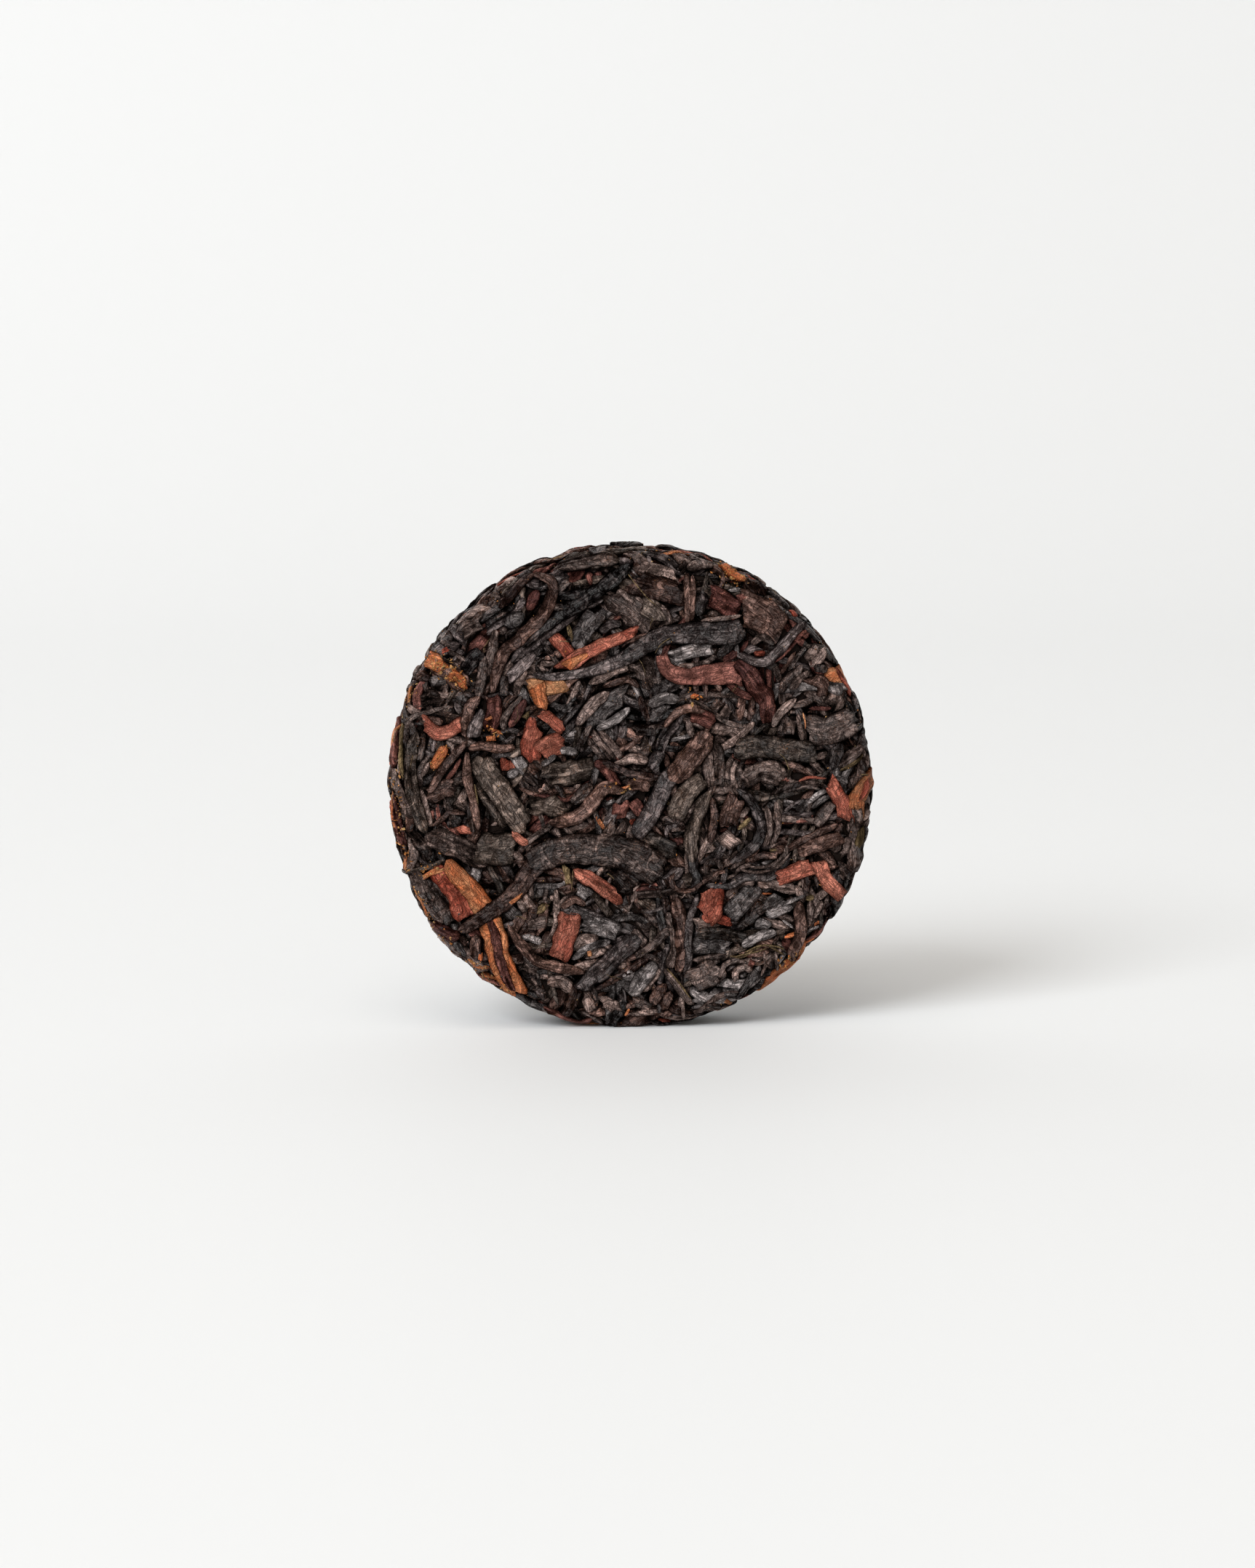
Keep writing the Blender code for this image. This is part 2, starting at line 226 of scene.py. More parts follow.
# %% The faces and the rim
MARGIN = 0.5  # a map reaches this far past its stretch of skin
OVERLAP = 6.0  # and the rim's this far past once round, for leaves that cross its ends
FACE_REACH, FACE_LIMIT = SKIN_HALF - 2.2, SKIN_HALF - 0.8  # the middles of leaves, and their ends,
RIM_REACH, RIM_LIMIT = 5.2, 5.6  # stay within these of the middle of the face or of the rim


class Face(Skin):
    """The front or back face with the rounded edge and half of the rim round it."""

    def __init__(self, back=False):
        super().__init__(SKIN_HALF + MARGIN, SKIN_HALF + MARGIN, -1 if back else 1)
        self.back = back

    def points(self, u, v, rise):
        along = np.minimum(np.hypot(u, v), SKIN_HALF + 1.5)
        along = 2 * SKIN_HALF - along if self.back else along
        return skin_points(along, np.arctan2(v, u), rise)

    def way_round(self, u, v):
        return np.hypot(u, v), np.arctan2(v, u)

    def take_edge(self, rim):
        """The leaves of the rim are there before those of the face."""
        i, j = np.indices(self.map.shape)
        u, v = (i + 0.5) * CELL - self.half_u, (j + 0.5) * CELL - self.half_v
        beyond = np.hypot(u, v) - SKIN_HALF
        edge = beyond > FLAT_RADIUS - SKIN_HALF
        on_rim = rim.height(np.arctan2(v, u) * CAKE_RADIUS, -beyond if self.back else beyond)
        self.map = np.where(edge, on_rim, self.map)

    def somewhere(self):
        """A random place on the face and a heading."""
        reach, angle = FACE_REACH * math.sqrt(rng.random()), rng.uniform(-math.pi, math.pi)
        return np.array([math.cos(angle), math.sin(angle)]) * reach, rng.uniform(-math.pi, math.pi)

    def keep(self, route):
        """The route drawn in where it would leave the face."""
        reach = np.hypot(*route.T)
        return route * np.minimum(1, FACE_LIMIT / np.maximum(reach, 1))[:, None]


class Rim(Skin):
    """The rim all the way round, u along it and v across it, over both rounded edges."""

    def __init__(self):
        super().__init__(math.pi * CAKE_RADIUS + OVERLAP, SKIN_HALF - FLAT_RADIUS + MARGIN, -1)

    def points(self, u, v, rise):
        return skin_points(SKIN_HALF + v, u / CAKE_RADIUS, rise)

    def raise_to(self, u, v, top):
        for turn in (-1, 0, 1):
            super().raise_to(u + turn * 2 * math.pi * CAKE_RADIUS, v, top)

    def way_round(self, u, v):
        return SKIN_HALF - np.abs(v), u / CAKE_RADIUS

    def take_faces(self):
        """The heights of leaves of the faces where they fold over the rim."""
        i, j = np.indices(self.map.shape)
        angle, v = ((i + 0.5) * CELL - self.half_u) / CAKE_RADIUS, (j + 0.5) * CELL - self.half_v
        way = SKIN_HALF - np.abs(v)
        place = way * np.cos(angle), way * np.sin(angle)
        on_face = np.where(v < 0, front.height(*place), back.height(*place))
        self.map = np.maximum(self.map, on_face)

    def somewhere(self):
        u = rng.uniform(-math.pi, math.pi) * CAKE_RADIUS
        return np.array([u, rng.uniform(-RIM_REACH, RIM_REACH)]), rng.normal(0, 0.5)

    def keep(self, route):
        return np.stack([route[:, 0], np.clip(route[:, 1], -RIM_LIMIT, RIM_LIMIT)], axis=-1)


front, back, rim = Face(), Face(back=True), Rim()
print("maps:", front.map.shape, rim.map.shape)

# %% [markdown]
# ## One leaf
#
# A pressed leaf is a strip: rolled ones are nearly round bars, flat ones have a thin even body,
# and old ones are wrinkled or grooved along their length. All begin as the same blank, a grid
# closed underneath by one row of faces, so that it is a flattened tube with two ends. The grid,
# the bridge under it and the caps are bmesh operators. A short leaf gets a blank of few faces
# and a long one more, and each size is made once.

# %% Blanks
@functools.lru_cache(maxsize=None)
def blank(steps, strips):
    """(mesh, t along, a across, order) of a strip; a runs from -1 to 1, denser at the sides."""
    strip = bmesh.new()
    bmesh.ops.create_grid(strip, x_segments=steps, y_segments=strips, size=1.0)
    edges = [e for e in strip.edges if e.is_boundary]
    sides = [e for e in edges if abs(e.verts[0].co.y - e.verts[1].co.y) < 0.001]
    bmesh.ops.bridge_loops(strip, edges=sides)
    caps = [e for e in strip.edges if e.is_boundary]
    bmesh.ops.holes_fill(strip, edges=caps, sides=0)
    for vert in strip.verts:
        vert.co.z = 1 - vert.co.y**2
    bmesh.ops.recalc_face_normals(strip, faces=strip.faces)
    mesh = bpy.data.meshes.new(f"blank_{steps}_{strips}")
    strip.to_mesh(mesh)
    x = np.array([v.co.x for v in strip.verts])
    y = np.array([v.co.y for v in strip.verts])
    strip.free()
    order = np.lexsort((y.round(4), x.round(4))).reshape(steps + 1, strips + 1)
    return mesh, ((x + 1) / 2)[order], np.sin(y * math.pi / 2)[order], order


test_blank = blank(8, 4)[0]
print("blank:", len(test_blank.vertices), "points,", len(test_blank.polygons), "faces")

# %% [markdown]
# The middle line of a leaf is a smooth curve through a few points. A Catmull-Rom curve passes
# through every point it is given, so a route can be read straight off the cake in millimetres.
# The curve is walked once in fine steps and then read by its length, which keeps the faces of a
# blank evenly long.

# %% Routes
def follow(points, t):
    """Places and headings at shares t of the smooth curve through the points, and its length."""
    p = np.array(points, dtype=float)
    q = np.concatenate([2 * p[:1] - p[1:2], p, 2 * p[-1:] - p[-2:-1]])
    walk = np.linspace(0, len(p) - 1, 20 * (len(p) - 1) + 1)
    i = np.minimum(walk.astype(int), len(p) - 2)
    f = (walk - i)[:, None]
    a, b, c, d = q[i], q[i + 1], q[i + 2], q[i + 3]
    curve = b + f * (c - a) / 2 + f**2 * (a - 2.5 * b + 2 * c - d / 2)
    curve = curve + f**3 * (1.5 * (b - c) + (d - a) / 2)
    way = np.concatenate([[0], np.cumsum(np.hypot(*np.diff(curve, axis=0).T))])
    heading = np.gradient(curve, axis=0)
    heading /= np.maximum(np.hypot(*heading.T), 1e-9)[:, None]
    at = t * way[-1]
    place = np.stack([np.interp(at, way, curve[:, k]) for k in (0, 1)], axis=-1)
    ahead = np.stack([np.interp(at, way, heading[:, k]) for k in (0, 1)], axis=-1)
    ahead /= np.maximum(np.hypot(*ahead.T), 1e-9)[:, None]
    return place, ahead, way[-1]


print("a bent route of two steps is", round(follow([(0, 0), (1, 0), (1, 1)], np.zeros(1))[2], 2), "long")

# %% [markdown]
# The forms a leaf takes under the press are set by a handful of sizes: how thick it is, how
# square its section, how deep its grooves and wrinkles, and how its ends narrow. A rolled leaf
# is a bar with round sides, a flat one has a steep torn edge, a crumpled one is wrinkled all
# over, a smooth one is a broad whole leaf, and a thread is a bare fibre.
#
# Rise and most are the thickness, as a share of the width and in millimetres at most. Square is
# how flat the top is. Groove and crumple are depths, and pitch the distance between grooves, all
# in millimetres. Tip is the width of the ends as a share, and blunt how late the leaf narrows.

# %% Forms of leaf
FORMS = {
    "rolled": dict(rise=0.50, most=0.70, square=3.0, groove=0.20, pitch=0.42, crumple=0.20,
                   tip=0.12, blunt=3.0, ragged=0.18, tear=0.2, skew=0.3),
    "grooved": dict(rise=0.38, most=0.65, square=4.5, groove=0.42, pitch=0.40, crumple=0.24,
                    tip=0.20, blunt=4.0, ragged=0.20, tear=0.35, skew=0.5),
    "flat": dict(rise=0.26, most=0.52, square=12.0, groove=0.18, pitch=0.55, crumple=0.26,
                 tip=0.82, blunt=14.0, ragged=0.16, tear=0.6, skew=0.9),
    "crumpled": dict(rise=0.32, most=0.60, square=6.0, groove=0.30, pitch=0.50, crumple=0.60,
                     tip=0.50, blunt=5.0, ragged=0.28, tear=0.6, skew=0.6),
    "smooth": dict(rise=0.24, most=0.62, square=10.0, groove=0.10, pitch=0.85, crumple=0.12,
                   tip=0.60, blunt=9.0, ragged=0.07, tear=0.4, skew=0.5),
    "thread": dict(rise=0.70, most=0.20, square=2.0, groove=0.0, pitch=0.40, crumple=0.0,
                   tip=0.35, blunt=3.0, ragged=0.10, tear=0.0, skew=0.0),
}
print("forms:", list(FORMS))

# %% [markdown]
# ## The press
#
# A heap of leaves is uneven: where more of them cross it swells. The press flattens those broad
# swellings but hardly the single leaves, so heights are split in two with an average over two
# and a half millimetres, and each part keeps a share of its own. What would still stand out of
# the face is bent over to a ceiling. One leaf never sinks through another that way, because
# heights keep their order.

# %% The press
LEVEL = -0.13  # where the press leaves the middle of the heights round a place
PRESSED_SHARE, RELIEF_SHARE = 0.12, 0.72  # what it leaves of broad swellings and of single leaves
CEILING, RIM_CEILING = 0.10, 0.30  # the highest that a leaf stands out of a face and of the rim
LUMP, LUMP_SIZE = 0.22, 3.0  # the rim is a little uneven, with lumps of about this height and size


def pressed(skin, u, v, height):
    """Heights after the press: swellings are flattened, and no leaf changes places with another."""
    broad = skin.broad[skin.cells(u, v)]
    way, angle = skin.way_round(u, v)
    edge = np.clip((way - FLAT_RADIUS) / EDGE_LENGTH, 0, 1)
    lumps = LUMP * edge * noise(CAKE_RADIUS * np.cos(angle), CAKE_RADIUS * np.sin(angle), LUMP_SIZE, 6)
    flat = LEVEL + PRESSED_SHARE * broad + RELIEF_SHARE * (height - broad) + lumps
    ceiling = CEILING + (RIM_CEILING - CEILING) * edge
    return np.where(flat > 0, ceiling * (1 - np.exp(-np.maximum(flat, 0) / ceiling)), flat)


print("leaves stand out by", CEILING, "mm at most, on the rim by", RIM_CEILING)

# %% [markdown]
# ## Laying a leaf
#
# This is the heart of the lesson. The blank is bent along its route, its outline is made ragged
# and its ends torn: noise along the sides for the one, and for the other a shift of the last
# points that grows towards the end.

# %% The outline of a leaf
BUMP_SIZE, TOOTH_SIZE = 0.9, 0.5  # of the noise along the sides and across the ends, in millimetres
SIDES_APART = 9  # places between the noise of the two sides, so that they aren't alike
TORN_END = 6  # the higher, the less of a leaf is torn


def outline(skin, route, t, a, widths, f, own):
    """Places (u, v) of a blank bent along its route, and the way along and across it."""
    place, ahead, length = follow(route, t[:, 0])
    along, end = t * length, np.abs(2 * t - 1)
    body = f["tip"] + (1 - f["tip"]) * np.sqrt(1 - end ** f["blunt"])
    sides = np.sign(a) * SIDES_APART
    ragged = 1 + f["ragged"] * noise(along + own[0], sides + own[1], BUMP_SIZE, 4)
    across = a * widths / 2 * body * ragged
    slant = np.where(t > 0.5, *rng.uniform(-f["skew"], f["skew"], 2)) * across
    teeth = f["tear"] * noise(across + own[1], end + own[2], TOOTH_SIZE, 7)
    torn = (teeth * np.sign(2 * t - 1) + slant) * end**TORN_END
    turned = across * skin.hand
    u = place[:, :1] - ahead[:, 1:] * turned + ahead[:, :1] * torn
    v = place[:, 1:] + ahead[:, :1] * turned + ahead[:, 1:] * torn
    return u, v, along, across


print("the ragged outlines come from", LATTICE.size, "random heights")

# %% [markdown]
# Then the leaf is lowered onto the map. It follows a blurred copy of what is under it, as a
# stiff wet leaf does, but never dips below it. Grooves run along the leaf and wrinkles across
# it, and both are geometry, because they are what catches the light.

# %% Lower a leaf onto the map
STIFF = 0.45  # how much of the highest point under it a leaf keeps all across
BEND = 2.0  # a leaf bends over this length
THINNEST = 0.06, 0.04  # what stays of a leaf over what is under it, before and after smoothing
LONG_GROOVE, LONG_SCRATCH = 11, 16  # length of grooves and of the scratches in them for their pitch
SCRATCH_PITCH, SCRATCH_DEPTH = 2.3, 0.35  # scratches are this much closer and lower than grooves
SHARPNESS = 0.8  # under 1, so that the creases between ridges are narrow
BETWEEN = 3  # places written into the map for each point of a leaf


def grooves(along, across, pitch, own):
    """Creases that run along a leaf: 0 on the ridges, -1 in the creases."""
    lines = noise(across / pitch + own, along / (pitch * LONG_GROOVE), 1.0, 5)
    fine = noise(across / pitch * SCRATCH_PITCH + own, along / (pitch * LONG_SCRATCH), 1.0, 6)
    return -np.abs(lines) ** SHARPNESS - SCRATCH_DEPTH * np.abs(fine)


def raise_map(skin, u, v, top):
    """Writes the strip's top into the height map, more closely than its own points lie."""
    rows = np.linspace(0, len(u) - 1, BETWEEN * len(u))
    cols = np.linspace(0, u.shape[1] - 1, BETWEEN * u.shape[1])
    i, j = np.minimum(rows.astype(int), len(u) - 2), np.minimum(cols.astype(int), u.shape[1] - 2)
    fi, fj = (rows - i)[:, None], (cols - j)[None, :]
    mixed = []
    for field in (u, v, top):
        low = field[i][:, j] * (1 - fj) + field[i][:, j + 1] * fj
        high = field[i + 1][:, j] * (1 - fj) + field[i + 1][:, j + 1] * fj
        mixed.append(low * (1 - fi) + high * fi)
    skin.raise_to(*mixed)


print("a leaf's thinnest place is", THINNEST[1], "mm over the one under it")

# %% Rest a leaf on what is under it
def lower(skin, u, v, t, a, thickness, relief, step, f):
    """The leaf's upper side over what is under it, written into the map too."""
    under = skin.height(u, v)
    stiff = STIFF * under.max(axis=1, keepdims=True) + (1 - STIFF) * under
    rest = soften(stiff, round(BEND / step), 2)
    cross = np.sqrt(np.maximum(1 - np.abs(a) ** f["square"], 0))
    cross = cross * np.sqrt(np.maximum(1 - np.abs(2 * t - 1) ** (2 * f["blunt"] + 8), 0))
    top = rest + cross * (thickness + relief)
    before, after = (under + least * cross for least in THINNEST)
    covered = np.maximum(soften(np.maximum(top, before), 1, 1), after)
    top = np.where(cross > 0.2, covered, top)
    raise_map(skin, u, v, top)
    return top


print("a leaf bends over", BEND, "mm")

# %% [markdown]
# For the materials a leaf keeps a place along and across in millimetres, as a UV map, and four values as a
# colour: its shade, its relief, how near the edge a point is, and a number of its own. The relief and the
# nearness to the edge are painted into the colour as shade in the creases and along the edges. Leaves are
# kept in bins, one for each finish on each stretch of skin, and a bin becomes one piece later.

# %% Lay a leaf
STEP_CHOICES = (6, 9, 13, 18, 26, 38, 54)  # faces along a leaf
FACE_SHAPE, STRIP_CHOICES = 0.62, (4, 14)  # width of a face for its length, and faces across a leaf
EDGE_DROP = 0.22  # how far the side of a leaf reaches below its own rim
UNEVEN = 0.85, 1.15  # leaves are thinner or thicker than their form by these
PUCKER, FINE_PUCKER, FINE_SHARE = 1.1, 0.45, 0.4  # sizes of wrinkles, and height of the fine ones
bins = {}


def lay_leaf(skin, bin_name, route, width, form, shade, step):
    """Lays one leaf on the skin and keeps it in a bin.

    Its width is one number, or two for a leaf that widens or narrows along its route.
    """
    f = FORMS[form]
    first, last = np.broadcast_to(width, 2)
    widest = max(first, last)
    rough_length = sum(math.dist(p, q) for p, q in zip(route, route[1:]))
    steps = min(STEP_CHOICES, key=lambda n: abs(n - rough_length / step))
    strips = int(np.clip(round(widest / (step * FACE_SHAPE)) + 2, *STRIP_CHOICES))
    mesh, t, a, order = blank(steps, strips)
    own = rng.uniform(0, 40, 3)
    widths = first + (last - first) * t
    u, v, along, across = outline(skin, route, t, a, widths, f, own)

    thickness = min(f["rise"] * widest, f["most"]) * rng.uniform(*UNEVEN)
    thickness = thickness * np.sqrt(widths / widest)
    creases = grooves(along, across, f["pitch"], own[0])
    wrinkle = rough(u + own[0], v + own[1], PUCKER, 1)
    wrinkle = wrinkle + FINE_SHARE * noise(u + own[1], v, FINE_PUCKER, 2)
    relief = f["groove"] * creases + f["crumple"] * wrinkle
    top = lower(skin, u, v, t, a, thickness, relief, step, f)
    for side, inner in ((0, 1), (-1, -2)):
        top[:, side] = np.minimum(top[:, side], top[:, inner]) - EDGE_DROP

    grain = np.stack([along + 7 * own[0], across + 3 * own[1]], axis=-1)
    # painted shade: low in the creases of the leaf's grooves and wrinkles, where it darkens the colour
    crease_painted_shade = np.clip(1.0 + 0.8 * creases * min(1, f["groove"] / 0.25) + 0.4 * wrinkle, 0, 1)
    own_number = np.full_like(t, rng.random())
    # green carries the painted crease shade, blue how near the edge a point is, which the finish paints
    # darker as shade
    marks = np.stack([np.full_like(t, shade), crease_painted_shade, np.abs(a) ** 5, own_number], axis=-1)
    bins.setdefault(bin_name, []).append((mesh, order, skin, u, v, top, grain, marks))


print("a leaf has from", STEP_CHOICES[0], "to", STEP_CHOICES[-1], "faces along it")

# %% [markdown]
# A leaf that ended up wholly under others is left out. The rest are pressed, and points that lie deep
# between their neighbours get painted shade: their colour is darkened through their relief value.

# %% Set the leaves down
# painted shade: in a crevice the colour is darkened by up to this share
DARKEST = 0.97  # share of the light that a crevice takes
BURIED = 0.15  # a leaf doesn't show when all of it is this far under others


def buried(leaf):
    """Whether a leaf ended up wholly under others."""
    skin, u, v, top = leaf[2:6]
    return (skin.height(u, v) - top).min() > BURIED


def set_down(leaf):
    """(mesh, points, grain, marks) of a laid leaf, pressed, with painted shade in the crevices."""
    mesh, order, skin, u, v, top, grain, marks = leaf
    # painted shade: the relief value, which darkens the colour, is lowered where a point lies deep between
    # its neighbours
    marks[..., 1] *= 1 - DARKEST * skin.shadow(u, v, top)
    back_in_order = np.argsort(order.ravel())
    points = skin.points(u, v, pressed(skin, u, v, top)).reshape(-1, 3)[back_in_order]
    return mesh, points, grain.reshape(-1, 2)[back_in_order], marks.reshape(-1, 4)[back_in_order]


print("a crevice takes up to", DARKEST, "of the light")

# %% [markdown]
# ## The leaves in their places
#
# A cake is recognised by its large leaves: the broad dark one below the middle with its long
# stalk, the slate grey one near the top, the red and orange scraps. They are listed here, in
# millimetres from the middle of the disc as the photograph shows it: finish, form, width, and
# the route. The list is in laying order, so a later leaf lies on an earlier one.

# %% Upper left leaves
LEAVES = [
    ("brown", "crumpled", 2.0, (-22.9, 14.6), (-21.8, 13.6), (-20.5, 12.8), (-18.5, 11.3)),
    ("orange", "crumpled", (1.9, 1.3), (-22.9, 14.5), (-21.9, 13.8), (-20.9, 13.0)),
    ("orange", "crumpled", (1.3, 0.9), (-20.6, 12.6), (-19.6, 12.2), (-18.6, 11.3)),
    ("red", "flat", 0.6, (-21.5, 15.1), (-20.5, 15.6)),
    ("dark", "crumpled", 1.3, (-21.0, 14.9), (-19.5, 14.2), (-18.8, 13.3)),
    ("dark", "flat", 1.4, (-21.6, 17.4), (-20.3, 16.3)),
    ("orange", "flat", 0.8, (-24.9, 11.3), (-25.4, 9.8)),
    ("brown", "grooved", 1.2, (-24.5, 12.5), (-22.8, 12.2)),
    ("slate", "crumpled", 1.1, (-22.6, 11.9), (-21.4, 11.6)),
    ("dark", "crumpled", 1.6, (-23.8, 9.6), (-21.5, 9.9)),
    ("dark", "crumpled", 2.2, (-19.4, 17.2), (-18.0, 18.2), (-16.8, 18.9)),
    ("maroon", "flat", 1.2, (-18.0, 15.3), (-16.4, 16.7)),
    ("black", "grooved", 1.6, (-18.9, 12.7), (-17.8, 14.2), (-16.6, 15.2)),
    ("dark", "rolled", 1.1, (-15.2, 17.7), (-15.6, 15.5), (-16.0, 13.5), (-15.9, 12.2)),
    ("dark", "rolled", 1.0, (-16.5, 14.5), (-16.8, 12.0), (-17.3, 9.9)),
    ("red", "grooved", 1.0, (-15.2, 22.8), (-13.5, 23.7), (-11.9, 24.3)),
    ("brown", "grooved", 1.1, (-11.0, 24.1), (-12.3, 23.0), (-13.5, 21.8), (-14.9, 20.2)),
    ("maroon", "rolled", 1.2, (-10.5, 22.1), (-11.0, 21.0), (-11.5, 19.7)),
    ("slate", "rolled", 1.3, (-14.1, 18.1), (-12.0, 19.3)),
    ("dark", "rolled", 1.0, (-14.2, 12.6), (-14.3, 9.9)),
    ("dark", "rolled", 0.9, (-11.8, 13.1), (-12.6, 11.5), (-12.9, 10.2)),
    ("dark", "rolled", 0.7, (-9.7, 15.9), (-8.8, 14.7), (-8.0, 13.5)),
    ("black", "flat", 1.2, (-13.5, 12.4), (-12.2, 13.6), (-11.2, 14.8)),
    ("dark", "rolled", 0.5, (-9.6, 14.5), (-10.5, 13.9), (-10.3, 12.8), (-9.2, 12.7), (-8.7, 13.5)),
    ("black", "grooved", 1.3, (-13.2, 14.0), (-12.2, 15.2), (-9.2, 17.5), (-6.0, 19.8), (-2.7, 21.4)),
    ("black", "grooved", 1.5, (-12.4, 15.8), (-9.3, 18.5), (-6.0, 20.5), (-2.5, 22.8), (-0.1, 25.0)),
    ("dark", "crumpled", 1.6, (-8.3, 24.8), (-5.0, 25.6), (-1.8, 25.5)),
    ("black", "flat", 0.9, (-8.0, 21.3), (-6.8, 21.5), (-5.4, 21.8)),
    ("dark", "rolled", 0.8, (-8.9, 20.2), (-7.4, 20.2)),
    ("brown", "rolled", 1.3, (-11.1, 24.0), (-9.9, 23.7), (-8.8, 22.9), (-9.0, 21.0), (-10.0, 19.0),
     (-11.3, 17.8), (-12.8, 16.3), (-14.3, 15.0), (-15.2, 12.5), (-15.6, 10.3)),
]
print("leaves so far:", len(LEAVES))

